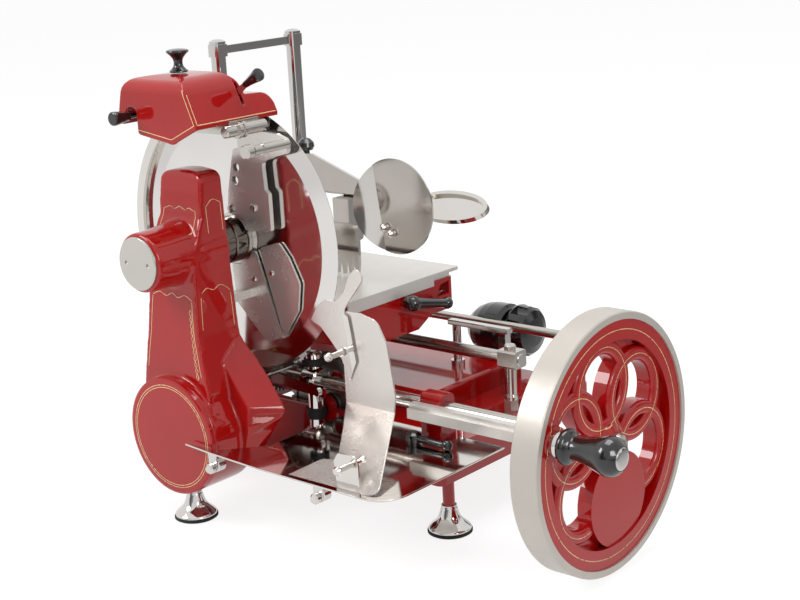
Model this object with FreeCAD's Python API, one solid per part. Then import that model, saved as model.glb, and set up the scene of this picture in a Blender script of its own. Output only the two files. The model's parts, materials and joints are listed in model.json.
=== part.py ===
"""Hand-cranked flywheel meat slicer, modelled as an assembly of separate pieces.

Frame: millimetres, +Z up. The origin is the centre of the resting disc of the foot under
the column. +X runs along the flywheel shaft towards the flywheel, +Y runs along the blade
spindle from the column towards the meat table.
"""
import FreeCAD, Part
import math
import os

V = FreeCAD.Vector
X = V(1, 0, 0)
Y = V(0, 1, 0)
Z = V(0, 0, 1)

# ---- running clearances and fits -------------------------------------------------------
RUN = 0.05          # radial clearance of a shaft that turns or slides in a bore
GAP = 0.3           # clearance between pieces of different bodies that do not touch
PLAY = 0.6          # looser clearance beside gears and levers
BACKLASH = 0.45     # total tooth backlash, measured along the pitch circle

# ---- blade and spindle -----------------------------------------------------------------
BLADE_R = 150.0
BLADE_Y = 97.0              # plane of the cutting edge
BLADE_T = 3.2
BLADE_BEVEL_W = 20.7        # width of the ground band inside the edge
SPINDLE_R = 9.0
HUB_R = 26.0
HUB_L = 20.0
GUARD_W = 11.0              # radial width of the ring guard
GUARD_T = 7.0
GUARD_GAP = 2.5

# ---- column ----------------------------------------------------------------------------
COLUMN_FRONT_Y = -15.0
COLUMN_BACK_Y = 62.0
CASE_R = 66.0
CASE_Z = 102.0
CASE_FRONT_Y = -26.0
CASE_COVER_T = 4.0
BOSS_R = 32.0
BOSS_FRONT_Y = -48.0
CAP_R = 28.6
CAP_T = 2.7
COLUMN_TOP_Z = 388.0

# ---- gear train ------------------------------------------------------------------------
MODULE = 2.0
CROSS_Z = 136.0             # height of the cross shaft and of the flywheel shaft
LOWER_TEETH = 44
IDLER_TEETH = 26
SPINDLE_TEETH = 16
BEVEL_TEETH = 20
CRANK_PINION_TEETH = 20
CRANK_GEAR_TEETH = 60
GEAR_W = 12.0
TRAIN_Y = 18.0              # front face of the column gears
PRESSURE = math.radians(20)
CROSS_R = 7.0
IDLER_PIN_R = 6.0

# ---- flywheel --------------------------------------------------------------------------
WHEEL_Y = 129.0
WHEEL_FACE_X = 470.0
WHEEL_W = 30.0
WHEEL_R = 131.0
RIM_T = 7.5
RING_PITCH_R = 60.0         # radius on which the six cast rings are centred
RING_R = 40.5               # mean radius of each ring
RIB_W = 15.0
FLANGE_W = 20.0
FLY_SHAFT_R = 8.0
CRANK_R = 103.0             # throw of the hand crank
CRANK_PIN_R = 5.0
SECTORS = 6
SOLID_SECTOR = 1            # this sector of the web has no opening
CRANK_TURN = math.radians(162)
GRIP_L = 63.0

# ---- base ------------------------------------------------------------------------------
BASE_X0 = -112.0
BASE_X1 = 275.0
BASE_Y0 = 100.0
BASE_Y1 = 375.0
BASE_Z0 = 60.0
DECK_Z = 100.0
HUMP_X1 = 195.0
HUMP_Y0 = 186.0
HUMP_Z = 124.0
LOW_FLOOR_Z = 62.0           # floor of the low front part, behind the column
FRONT_WALL_Y = 140.0        # outer face of the wall behind the low floor
STEP_X = 112.0              # the base is deeper to the right of this
SLOT_X0 = -20.0
SLOT_X1 = 142.0
WALL = 8.0
FOOT_BELL_R = 24.25
FOOT_H = 31.0
FOOT_STUB_R = 6.5
FOOT_PAD_T = 4.0

# ---- carriage --------------------------------------------------------------------------
ROD_R = 7.0
REAR_ROD_R = 5.5
ROD_Z = 161.0
FRONT_ROD_Y = 243.0
REAR_ROD_Y = 345.0
ROD_X0 = -135.0
FRONT_ROD_X1 = 276.0
REAR_ROD_X1 = 332.0
POST_X = 261.0
POST_R = 6.5
CARR_X0 = -128.0
CARR_X1 = 145.0
CARR_Y0 = 128.0
CARR_Y1 = 292.0
CARR_Z0 = 181.0
CARR_Z1 = 230.0
CARR_WALL = 7.0
BUSH_X0 = -124.0
BUSH_L = 46.0
CRANK_Z = 100.0
CRANK_THROW = 56.0
CONROD_L = 135.0
CONROD_T = 6.0
DRIVE_PIN_Z = 171.0
DRIVE_PIN_R = 4.0

# ---- meat table ------------------------------------------------------------------------
TABLE_Z = 240.0
TABLE_T = 4.0
TABLE_X0 = -126.0
TABLE_X1 = 148.0
TABLE_Y0 = 106.0
TABLE_Y1 = 300.0
CLAMP_POST_X = -86.0
CLAMP_POST_Y0 = 167.0
CLAMP_POST_Y1 = 290.5
CLAMP_POST_R = 8.5
CLAMP_POST_TOP = 503.0

# ---- clamp -----------------------------------------------------------------------------
CLAMP_Y = 228.0             # middle of the clamp arm
CARRIER_Z = 326.0
CARRIER_H = 18.0
CARRIER_W = 28.0
ARM_W = 14.0
ARM_X1 = 112.0
COMB_Y = 203.0
COMB_T = 4.0
COMB_X0 = 14.0
COMB_X1 = 84.0
COMB_TEETH = 7
GUARD_FOLD_X = 108.0
GUARD_FOLD_Y = 212.0
GUARD_MID_Z = 321.0
HAND_GUARD_R = 54.0
GUARD_LEAN = 8.0
LOOP_X = 186.0
LOOP_Y = 244.0
LOOP_Z = 323.0
LOOP_A = 50.0
LOOP_B = 22.0
LOOP_TILT = 36.0

# ---- sharpener -------------------------------------------------------------------------
COVER_X0 = -62.0
COVER_X1 = 58.0
COVER_Y0 = -5.0
COVER_Y1 = 114.0
COVER_TOP = 489.0
COVER_EDGE_Z = 441.0
COVER_V_Z = 421.0
COVER_WALL = 3.0
PUSH_X = -42.0
PUSH_Z = 447.0
PUSH_TRAVEL = 4.0
HONE_X = 28.0
HONE_PIVOT_Z = 455.0
SLOT_PIN_X = 95.0
SLOT_PIN_Z = 412.0

# ---- tray and deflector ----------------------------------------------------------------
TRAY_T = 2.0
TRAY_FRONT_Y = -46.0
TRAY_X1 = 326.0
TRAY_Y1 = 142.0
DEFLECT_PIVOT_X = 165.0
DEFLECT_PIVOT_Z = 196.0
DEFLECT_Y = 78.0
DEFLECT_T = 2.0


# ---- brackets, levers, screws and dial ------------------------------------------------------
GUARD_LEG_X = -104.0
POST_NECK_R = 9.0           # neck of the inner shaft post
POST_EYE_R = 15.0
SHAFT_BLOCK_X = 235.0
OUTBOARD_X = 410.0
BAR_X0 = 140.0
BAR_X1 = 226.0
BAR_Y = 290.0
SCREW_X = 20.0
SCREW_Z = 212.0
SCREW_R = 6.0
SCREW_PITCH = 4.0
FEED_TURNS_SHOWN = 10
RATCHET_TEETH = 30
LEVER_Y = 203.0
LEVER_HUB_R = 9.0
LEVER_Z = 219.0
GUARD_PLATE_T = 2.0
GUARD_FOLD_ANGLE = 35.0
NOSE_R = 26.0
BRACKET_T = 6.0
SLOT_PIN_R = 5.0
GUIDE_PIN_X = (-12.0, 12.0)
GUIDE_PIN_R = 4.0
KNOB_Y = 30.0
PUSH_R = 4.0
HONE_R = 4.0
HONE_ARM_Y = 67.0
HONE_ARM_X = 41.0
HONE_ARM_RISE = 15.0
HONE_KNOB_WAY = (24.0, 13.0)
HONE_STONE_Z = 446.0
TRAY_CLAMP_X = (76.0, 228.0)
DEFLECT_PIN_R = 3.0
FOLD_Z = 140.0
LOCK_X = 238.0
LOCK_Y = 101.0
DIAL_X0 = 110.0
DIAL_Y = 370.0
DIAL_Z = 147.0
KNOB_AXIS_Y = 380.0
DIAL_SHAFT_R = 7.0
DIAL_R = 32.5
DIAL_KNOB_R = 31.0

# ---- places worked out from the sizes above ------------------------------------------------
LOWER_PITCH = LOWER_TEETH * MODULE / 2
IDLER_PITCH = IDLER_TEETH * MODULE / 2
SPINDLE_PITCH = SPINDLE_TEETH * MODULE / 2
BEVEL_PITCH = BEVEL_TEETH * MODULE / 2
IDLER_1_Z = CROSS_Z + LOWER_PITCH + IDLER_PITCH
IDLER_2_Z = IDLER_1_Z + 2 * IDLER_PITCH
SPINDLE_Z = IDLER_2_Z + IDLER_PITCH + SPINDLE_PITCH
UP = math.pi / 2
APEX = V(0, WHEEL_Y, CROSS_Z)
BLADE_BACK_Y = BLADE_Y - BLADE_T
HUB_BACK_Y = BLADE_BACK_Y - HUB_L
CAVITY_Y0 = TRAIN_Y - 5
CAVITY_Y1 = TRAIN_Y + GEAR_W + 8
BUSH_OUT = SPINDLE_R + 5.0
CROSS_BUSH_OUT = CROSS_R + 4.0
CRANK_CENTRES = (CRANK_PINION_TEETH + CRANK_GEAR_TEETH) * MODULE / 2
CRANK_X = math.sqrt(CRANK_CENTRES ** 2 - (CROSS_Z - CRANK_Z) ** 2)
CRANK_PLANE_Y = WHEEL_Y + BEVEL_PITCH + 2.5
CRANK_GEAR_W = 8.0
ARM_Y0 = CRANK_PLANE_Y + CRANK_GEAR_W
ARM_T = 6.0
CONROD_Y = ARM_Y0 + ARM_T + 7.0
LEG_Y0 = CONROD_Y + CONROD_T + 1.0
REACH = CONROD_L + CRANK_THROW
DROP = DRIVE_PIN_Z - CRANK_Z
DRIVE_X = CRANK_X - math.sqrt(REACH ** 2 - DROP ** 2)
CRANK_PIN_AT = V(CRANK_X + (DRIVE_X - CRANK_X) * CRANK_THROW / REACH, 0,
                 CRANK_Z + DROP * CRANK_THROW / REACH)
WHEEL_BACK_X = WHEEL_FACE_X - WHEEL_W
WHEEL_CENTRE = V(WHEEL_BACK_X, WHEEL_Y, CROSS_Z)
WEB_R = WHEEL_R - RIM_T
INNER_RING_R = WEB_R - FLANGE_W
PATTERN_TURN = math.radians(-140)
CRANK_OFFSET = V(0, CRANK_R * math.cos(CRANK_TURN), CRANK_R * math.sin(CRANK_TURN))
GRIP_X0 = WHEEL_FACE_X + 8.0
GRIP_CENTRE = V(0, WHEEL_Y, CROSS_Z) + CRANK_OFFSET


# ---- small building blocks ---------------------------------------------------------------
def box(x0, x1, y0, y1, z0, z1):
    """Block between two corners."""
    return Part.makeBox(x1 - x0, y1 - y0, z1 - z0, V(x0, y0, z0))


def rod(radius, start, axis, length):
    """Round bar from a start point along an axis."""
    return Part.makeCylinder(radius, length, start, axis)


def tube(outer, inner, start, axis, length):
    """Round sleeve."""
    return rod(outer, start, axis, length).cut(rod(inner, start, axis, length))


def ball(radius, centre):
    """Sphere."""
    return Part.makeSphere(radius, centre)


def fuse(*shapes):
    """One solid from several that meet."""
    return shapes[0].fuse(list(shapes[1:])).removeSplitter()


def turned(profile, start, axis):
    """Solid of revolution; profile is a list of (distance along the axis, radius)."""
    points = [V(0, 0, profile[0][0])]
    points += [V(r, 0, h) for h, r in profile]
    points.append(V(0, 0, profile[-1][0]))
    clean = [points[0]]
    for point in points[1:]:
        if point.distanceToPoint(clean[-1]) > 1e-6:
            clean.append(point)
    face = Part.Face(Part.makePolygon(clean + [clean[0]]))
    solid = face.revolve(V(0, 0, 0), Z, 360)
    solid.Placement = FreeCAD.Placement(start, FreeCAD.Rotation(Z, axis))
    return solid


def curve_profile(points, steps=6):
    """Profile of (distance, radius) points smoothed by one spline through them."""
    spline = Part.BSplineCurve()
    spline.interpolate([V(h, r, 0) for h, r in points])
    first, last = spline.FirstParameter, spline.LastParameter
    count = steps * (len(points) - 1)
    values = [spline.value(first + (last - first) * i / count) for i in range(count + 1)]
    return [(p.x, p.y) for p in values]


def slab_xz(points, y0, y1):
    """Flat piece with an outline in X and Z, between two Y values."""
    ring = [V(x, y0, z) for x, z in points]
    return Part.Face(Part.makePolygon(ring + [ring[0]])).extrude(V(0, y1 - y0, 0))


def slab_xy(points, z0, z1):
    """Flat piece with an outline in X and Y, between two Z values."""
    ring = [V(x, y, z0) for x, y in points]
    return Part.Face(Part.makePolygon(ring + [ring[0]])).extrude(V(0, 0, z1 - z0))


def slab_yz(points, x0, x1):
    """Flat piece with an outline in Y and Z, between two X values."""
    ring = [V(x0, y, z) for y, z in points]
    return Part.Face(Part.makePolygon(ring + [ring[0]])).extrude(V(x1 - x0, 0, 0))


def edges_along(solid, axis, test=lambda c: True):
    """Straight edges parallel to an axis whose centre passes a test."""
    found = []
    for edge in solid.Edges:
        if len(edge.Vertexes) != 2:
            continue
        span = edge.Vertexes[1].Point.sub(edge.Vertexes[0].Point)
        if span.Length < 1e-6:
            continue
        if abs(span.normalize().dot(axis)) > 0.9999 and test(edge.CenterOfMass):
            found.append(edge)
    return found


def rounded(solid, radius, axis, test=lambda c: True):
    """The solid with its straight edges along an axis rounded."""
    return solid.makeFillet(radius, edges_along(solid, axis, test))


def bar_between(start, end, width, thickness, axis):
    """Flat bar from one point to another, its thickness along an axis."""
    side = end.sub(start).normalize().cross(axis) * (width / 2)
    ring = [start + side, end + side, end - side, start - side]
    return Part.Face(Part.makePolygon(ring + [ring[0]])).extrude(axis * thickness)


def tapered_bar(start, end, radius0, radius1):
    """Round bar from one point to another that tapers evenly."""
    along = end.sub(start)
    return Part.makeCone(radius0, radius1, along.Length, start, along)


def export(shape, node):
    """Write one node."""
    shape.exportStep("parts/" + node + ".step")


# ---- gears -------------------------------------------------------------------------------
def involute(angle):
    """Involute function."""
    return math.tan(angle) - angle


def gear_outline(teeth, module, turn=0.0, grow=1.0, add=1.0, ded=1.25):
    """Closed outline of an involute gear; turn puts a tooth centre at that angle."""
    pitch = teeth * module / 2
    base = pitch * math.cos(PRESSURE)
    low = pitch - ded * module
    top = pitch + add * module
    radii = [low, max(low + 0.25 * module, base + 0.02 * module), pitch, top]
    points = []
    for tooth in range(teeth):
        centre = turn + 2 * math.pi * tooth / teeth
        half = []
        for radius in radii:
            flank = involute(math.acos(min(1.0, base / radius)))
            width = math.pi / 2 / teeth + involute(PRESSURE) - flank - BACKLASH / 4 / pitch
            half.append(width)
        for radius, width in zip(radii, half):
            points.append((radius * grow, centre - width))
        for radius, width in reversed(list(zip(radii, half))):
            points.append((radius * grow, centre + width))
    return [(r * math.cos(a), r * math.sin(a)) for r, a in points]


def spur_gear(teeth, centre, width, bore, turn):
    """Spur gear on an axis along +Y; turn is measured from +X towards +Z."""
    outline = gear_outline(teeth, MODULE, turn)
    solid = slab_xz([(centre.x + u, centre.z + w) for u, w in outline], centre.y, centre.y + width)
    solid = solid.cut(rod(bore, centre - Y, Y, width + 2))
    pitch = teeth * MODULE / 2
    if pitch > 3.2 * bore:
        for side in (centre.y - 1, centre.y + width - 2):
            recess = tube(pitch - 3.2 * MODULE, bore + 7, V(centre.x, side, centre.z), Y, 3)
            solid = solid.cut(recess)
    return solid


def bevel_gear(teeth, apex, axis, up, bore, turn, face=9.0, hub=9.0):
    """Equal-ratio bevel gear, its pitch cone pointing at the apex along -axis."""
    pitch = teeth * MODULE / 2
    side = up.cross(axis)
    share = (pitch - face) / pitch
    wires = []
    for scale in (1.0, share):
        ring = []
        for u, w in gear_outline(teeth, MODULE * scale, turn, add=0.7, ded=0.95):
            ring.append(apex + axis * (pitch * scale) + side * u + up * w)
        wires.append(Part.makePolygon(ring + [ring[0]]))
    teeth_solid = Part.makeLoft(wires, True, True)
    core = rod(pitch * 0.62, apex + axis * (pitch - 0.01), axis, hub)
    solid = teeth_solid.fuse(core)
    return solid.cut(rod(bore, apex, axis, pitch + hub + 1))


# ---- blade, spindle and column gears -------------------------------------------------------
def blade():
    """Dished round knife with a ground band on the side facing the column."""
    band = BLADE_R - BLADE_BEVEL_W
    profile = [(0, HUB_R * 0.4), (0, band), (BLADE_T - 0.6, BLADE_R), (BLADE_T, BLADE_R)]
    profile += [(BLADE_T, band - 14), (BLADE_T - 1.2, band - 22), (BLADE_T - 1.2, HUB_R * 0.4)]
    disc = turned(profile, V(0, BLADE_BACK_Y, SPINDLE_Z), Y)
    return disc.cut(rod(SPINDLE_R, V(0, BLADE_BACK_Y - 1, SPINDLE_Z), Y, BLADE_T + 2))


def blade_hub():
    """Polished drum between the column and the blade."""
    start = V(0, HUB_BACK_Y, SPINDLE_Z)
    profile = [(0, HUB_R - 3), (2, HUB_R), (HUB_L - 3, HUB_R), (HUB_L - 3, HUB_R + 3), (HUB_L, HUB_R + 3)]
    return turned(profile, start, Y).cut(rod(SPINDLE_R, start, Y, HUB_L))


def blade_spindle():
    """Stepped shaft that carries the blade."""
    start = TRAIN_Y - 22
    return rod(SPINDLE_R, V(0, start, SPINDLE_Z), Y, BLADE_Y + 3 - start)


def blade_nut():
    """Domed nut on the table side of the blade."""
    face = BLADE_Y - 1.2
    profile = [(0, HUB_R - 6), (3, HUB_R - 6), (3, 15), (7, 13), (8.0, 9), (8.4, 0.5)]
    nut = turned(profile, V(0, face, SPINDLE_Z), Y)
    return nut.cut(rod(SPINDLE_R, V(0, face, SPINDLE_Z), Y, BLADE_Y + 3 - face))


def column_gear(teeth, height, bore, tooth_up):
    """Gear of the train inside the column; tooth_up sets a tooth or a gap at the top."""
    turn = UP if tooth_up else UP + math.pi / teeth
    return spur_gear(teeth, V(0, TRAIN_Y, height), GEAR_W, bore, turn)


def idler_pins():
    """Two pins fixed in the column, one for each idler gear."""
    pins = []
    for height in (IDLER_1_Z, IDLER_2_Z):
        pins.append(rod(IDLER_PIN_R, V(0, TRAIN_Y - 14, height), Y, GEAR_W + 30))
    return Part.Compound(pins)


def cross_shaft():
    """Shaft from the column to the carriage crank, passing the end of the flywheel shaft."""
    start = TRAIN_Y - 14
    return rod(CROSS_R, V(0, start, CROSS_Z), Y, CRANK_PLANE_Y + GEAR_W - 3 - start)


# ---- column ---------------------------------------------------------------------------------
COLUMN_HALF = [(-52, 150), (-41, 215), (-34, 300), (-27, 358)]


def column_outline():
    """Outline of the column in X and Z, with a domed top."""
    left = list(COLUMN_HALF)
    dome = []
    radius = -COLUMN_HALF[-1][0]
    rise = COLUMN_TOP_Z - COLUMN_HALF[-1][1]
    for i in range(1, 10):
        angle = math.pi - math.pi * i / 10
        dome.append((radius * math.cos(angle), COLUMN_HALF[-1][1] + rise * math.sin(angle)))
    right = [(-x, z) for x, z in reversed(left)]
    return [(-52, CASE_Z)] + left + dome + right + [(52, CASE_Z)]


def skirt():
    """Faceted shoulder that spreads from the column to the base on the flywheel side."""
    rim = [(36, 226), (62, 196), (104, 139), (101, 122), (70, 56), (36, 46), (0, 46)]
    front = [(x - 14 if x > 60 else x, z - (10 if z > 190 else 0)) for x, z in rim]
    wires = []
    for y, points in ((-4.0, front), (16.0, rim)):
        ring = [V(x, y, z) for x, z in points]
        wires.append(Part.makePolygon(ring + [ring[0]]))
    return Part.makeLoft(wires, True, True).fuse(slab_xz(rim, 16.0, COLUMN_BACK_Y))


def gear_space():
    """Room for the gears inside the column."""
    room = rod(LOWER_PITCH + MODULE + 3, V(0, CAVITY_Y0, CROSS_Z), Y, CAVITY_Y1 - CAVITY_Y0)
    wide = IDLER_PITCH + MODULE + 3
    room = room.fuse(box(-wide, wide, CAVITY_Y0, CAVITY_Y1, CROSS_Z + 20, IDLER_2_Z))
    room = room.fuse(rod(wide, V(0, CAVITY_Y0, IDLER_2_Z), Y, CAVITY_Y1 - CAVITY_Y0))
    top = SPINDLE_PITCH + MODULE + 3
    return room.fuse(rod(top, V(0, CAVITY_Y0, SPINDLE_Z), Y, CAVITY_Y1 - CAVITY_Y0))


def column_housing():
    """Hollow casting: gear case, column, spindle boss and skirt."""
    body = slab_xz(column_outline(), COLUMN_FRONT_Y, COLUMN_BACK_Y)
    front = lambda c: abs(c.y - COLUMN_FRONT_Y) < 0.01 and c.z > CASE_Z + 5
    body = body.makeChamfer(9.0, [e for e in body.Edges if front(e.CenterOfMass)])
    case_front = CASE_FRONT_Y + CASE_COVER_T
    case = rod(CASE_R, V(0, case_front, CASE_Z), Y, COLUMN_BACK_Y - 8 - case_front)
    case = case.makeFillet(3.0, [e for e in case.Edges if e.CenterOfMass.y > CASE_R / 2])
    boss = turned([(0, BOSS_R - 2), (2, BOSS_R), (28, BOSS_R + 1.5), (60, BOSS_R + 4)],
                  V(0, BOSS_FRONT_Y, SPINDLE_Z), Y)
    body = body.fuse([case, skirt(), boss]).removeSplitter()
    body = body.cut(gear_space())
    depth = COLUMN_BACK_Y - BOSS_FRONT_Y + 2
    body = body.cut(rod(BUSH_OUT, V(0, BOSS_FRONT_Y + 12, SPINDLE_Z), Y, depth))
    body = body.cut(rod(CROSS_BUSH_OUT, V(0, CAVITY_Y0 - 12, CROSS_Z), Y, 100))
    for height in (IDLER_1_Z, IDLER_2_Z):
        body = body.cut(rod(IDLER_PIN_R, V(0, TRAIN_Y - 14, height), Y, GEAR_W + 30))
    foot = rod(FOOT_STUB_R, V(0, 0, FOOT_H), Z, 12)
    return body.fuse(foot).removeSplitter()


def bush(centre_y0, centre_y1, height, bore, outer):
    """Bronze bush on an axis along +Y."""
    return tube(outer, bore + RUN, V(0, centre_y0, height), Y, centre_y1 - centre_y0)


def gear_case_cover():
    """Round cover of the gear case with a raised lip."""
    lip = [(0, CASE_R - 3), (0.8, CASE_R - 0.6), (CASE_COVER_T, CASE_R)]
    cover = turned(lip, V(0, CASE_FRONT_Y, CASE_Z), Y)
    return cover


def spindle_cap():
    """Flat cap on the spindle boss, with two spanner holes."""
    start = V(0, BOSS_FRONT_Y - CAP_T, SPINDLE_Z)
    cap = turned([(0, CAP_R - 1), (1, CAP_R), (CAP_T, CAP_R)], start, Y)
    for side in (-1, 1):
        cap = cap.cut(rod(2.2, start + V(side * 17, -1, 0), Y, 2.4))
    return cap


def cover_plate(side):
    """One of the two polished plates behind the lower half of the blade."""
    outline = [(2, -27), (44, -27), (60, -58), (42, -98), (2, -128)]
    points = [(side * x, SPINDLE_Z + z) for x, z in outline]
    y1 = BLADE_BACK_Y - 5
    plate = slab_xz(points, y1 - 2.5, y1)
    stay = box(min(side * 14, side * 26), max(side * 14, side * 26), COLUMN_BACK_Y, y1 - 2.5,
               SPINDLE_Z - 60, SPINDLE_Z - 48)
    return plate.fuse(stay)


def blade_guard():
    """Ring guard round the idle side of the edge, with a leg to the base."""
    inner = BLADE_R + GUARD_GAP
    centre = V(0, BLADE_Y - GUARD_T, SPINDLE_Z)
    ring = tube(inner + GUARD_W, inner, centre, Y, 2 * GUARD_T)
    reach = 2 * BLADE_R
    wedge = [(0, 0), (-0.42 * reach, reach), (-reach, reach), (-reach, -reach), (-0.55 * reach, -reach)]
    ring = ring.common(slab_xz([(x, SPINDLE_Z + z) for x, z in wedge], 0, BLADE_R))
    leg = box(GUARD_LEG_X, GUARD_LEG_X + 12, BLADE_Y - GUARD_T, BLADE_Y + GUARD_T, LOW_FLOOR_Z,
              SPINDLE_Z - BLADE_R * 0.76)
    leg = leg.cut(rod(inner, centre - Y, Y, 2 * GUARD_T + 2))
    return fuse(ring, leg)


def drip_trough():
    """Bent sheet below the blade that catches trimmings."""
    low = CROSS_Z + CROSS_R + 1.2
    outer = [(-36, low + 3), (-20, low), (38, low), (62, low + 7)]
    inner = [(x, z + TRAY_T) for x, z in reversed(outer)]
    return slab_xz(outer + inner, COLUMN_BACK_Y, BLADE_Y + 4.5)


# ---- base -----------------------------------------------------------------------------------
FEET = [(0.0, 0.0), (263.0, 124.0), (-92.0, 352.0), (257.0, 352.0)]


def base_casting():
    """Base: open-bottomed deck, raised middle, low front floor and foot bosses."""
    plan = [(BASE_X0, FRONT_WALL_Y), (STEP_X, FRONT_WALL_Y), (STEP_X, BASE_Y0), (BASE_X1, BASE_Y0),
            (BASE_X1, BASE_Y1), (BASE_X0, BASE_Y1)]
    body = rounded(slab_xy(plan, BASE_Z0, DECK_Z), WALL, Z)
    inner = [(BASE_X0 + WALL, FRONT_WALL_Y + WALL), (STEP_X + WALL, FRONT_WALL_Y + WALL),
             (STEP_X + WALL, BASE_Y0 + WALL), (BASE_X1 - WALL, BASE_Y0 + WALL),
             (BASE_X1 - WALL, BASE_Y1 - WALL), (BASE_X0 + WALL, BASE_Y1 - WALL)]
    body = body.cut(slab_xy(inner, BASE_Z0 - 1, DECK_Z - WALL))
    hump = rounded(box(BASE_X0, HUMP_X1, HUMP_Y0, BASE_Y1 - 20, DECK_Z, HUMP_Z), 6.0, Z)
    hump = hump.makeFillet(5.0, [e for e in hump.Edges if abs(e.CenterOfMass.z - HUMP_Z) < 0.01])
    floor = box(BASE_X0, STEP_X, COLUMN_BACK_Y, FRONT_WALL_Y + WALL, LOW_FLOOR_Z - 10, LOW_FLOOR_Z)
    floor = rounded(floor, WALL, Z)
    boss = rod(CROSS_R + 7, V(CRANK_X, FRONT_WALL_Y, CRANK_Z), Y, WALL)
    ridge = slab_yz([(BASE_Y1 - 8, DECK_Z), (BASE_Y1 - 8, HUMP_Z + 8), (BASE_Y1 - 45, HUMP_Z + 8),
                     (REAR_ROD_Y - 83, DECK_Z + 8), (REAR_ROD_Y - 83, DECK_Z)], BASE_X1 - 20, BASE_X1)
    body = body.fuse([hump, floor, boss, ridge])
    for x, y in FEET[1:]:
        body = body.fuse(rod(FOOT_STUB_R, V(x, y, FOOT_H), Z, DECK_Z - WALL - FOOT_H))
        body = body.fuse(rod(FOOT_STUB_R + 4, V(x, y, BASE_Z0), Z, DECK_Z - WALL - BASE_Z0))
    slot = box(SLOT_X0, SLOT_X1, CRANK_PLANE_Y - 3, CONROD_Y + CONROD_T + 6, DECK_Z - WALL - 1, HUMP_Z)
    body = body.cut(slot)
    body = body.cut(rod(CROSS_R + RUN, V(CRANK_X, FRONT_WALL_Y - 1, CRANK_Z), Y, WALL + 2))
    return body.removeSplitter()


def levelling_feet():
    """Four chrome bell feet."""
    bell = curve_profile([(FOOT_PAD_T, FOOT_BELL_R - 1.0), (7.5, FOOT_BELL_R - 2.2), (14, 15.5),
                          (22, 10.2), (FOOT_H - 3, 8.6)], 3)
    bell = [(FOOT_PAD_T, FOOT_BELL_R - 2)] + bell[1:] + [(FOOT_H - 2, 8.4), (FOOT_H, 7.6)]
    return Part.Compound([turned(bell, V(x, y, 0), Z) for x, y in FEET])


def foot_pads():
    """Black rubber ring under each bell."""
    pad = [(0, FOOT_BELL_R - 2), (1.2, FOOT_BELL_R), (FOOT_PAD_T - 0.8, FOOT_BELL_R),
           (FOOT_PAD_T, FOOT_BELL_R - 1.2)]
    return Part.Compound([turned(pad, V(x, y, 0), Z) for x, y in FEET])


# ---- flywheel ---------------------------------------------------------------------------------
def sector_centre(index):
    """Centre of one of the cast rings, at the back face of the wheel."""
    angle = PATTERN_TURN + 2 * math.pi * index / SECTORS
    return WHEEL_CENTRE + V(0, RING_PITCH_R * math.cos(angle), RING_PITCH_R * math.sin(angle))


def flywheel_rim():
    """Machined rim band."""
    rim = tube(WHEEL_R, WEB_R, WHEEL_CENTRE, X, WHEEL_W)
    edges = [e for e in rim.Edges if abs(e.Length - 2 * math.pi * WHEEL_R) < 1]
    return rim.makeChamfer(1.2, edges)


def cast_ring(index):
    """One interlaced ring of the web, its front edges rounded."""
    start = sector_centre(index) + X * 5.0
    ring = tube(RING_R + RIB_W / 2, RING_R - RIB_W / 2, start, X, 19.0)
    front = start.x + 19.0
    return ring.makeFillet(4.5, [e for e in ring.Edges if abs(e.BoundBox.XMin - front) < 0.01
                                 and abs(e.BoundBox.XMax - front) < 0.01])


def flywheel_wheel():
    """Cast wheel: flange, web with petal openings and interlaced rings."""
    web_x0 = 10.0
    web = rod(INNER_RING_R, WHEEL_CENTRE + X * web_x0, X, 7.0)
    outer_hole = RING_R - RIB_W / 2
    open_sectors = [index for index in range(SECTORS) if index != SOLID_SECTOR]
    for index in open_sectors:
        hole = rod(outer_hole, sector_centre(index) + X * (web_x0 - 1), X, 10.0)
        for step in (-1, 1):
            lens = rod(RING_R, sector_centre(index + step) + X * (web_x0 - 2), X, 12.0)
            hole = hole.cut(lens)
        web = web.cut(hole)
    keep = rod(INNER_RING_R, WHEEL_CENTRE, X, WHEEL_W)
    rings = [cast_ring(index) for index in open_sectors]
    ribs = rings[0].fuse(rings[1:]).common(keep)
    pad = rod(RING_R + RIB_W / 2, sector_centre(SOLID_SECTOR) + X * web_x0, X, 16.0).common(keep)
    flange = tube(WEB_R, INNER_RING_R, WHEEL_CENTRE + X * 1.0, X, WHEEL_W - 3.0)
    hub = turned([(-4, 17), (0, 22), (22, 22), (26, 20), (29, 15)], WHEEL_CENTRE, X)
    boss = rod(17.0, WHEEL_CENTRE + CRANK_OFFSET + X * 6, X, 23.0)
    wheel = web.fuse([ribs, pad, flange, hub, boss.common(rod(WEB_R, WHEEL_CENTRE, X, WHEEL_W))])
    wheel = wheel.removeSplitter().cut(rod(FLY_SHAFT_R, WHEEL_CENTRE - X * 6, X, WHEEL_W + 12))
    return wheel.cut(rod(CRANK_PIN_R, WHEEL_CENTRE + CRANK_OFFSET + X * 5, X, WHEEL_W))


def flywheel_shaft():
    """Shaft from the bevel gear to the flywheel."""
    start = 12.0
    return rod(FLY_SHAFT_R, V(start, WHEEL_Y, CROSS_Z), X, WHEEL_BACK_X + 32 - start)


def hub_nut():
    """Domed nut that holds the flywheel."""
    start = V(WHEEL_BACK_X + 29, WHEEL_Y, CROSS_Z)
    nut = turned([(0, 13), (5, 13), (8, 11.5), (10.5, 7.5), (11.5, 0.5)], start, X)
    return nut.cut(rod(FLY_SHAFT_R, start, X, 3.0))


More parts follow.
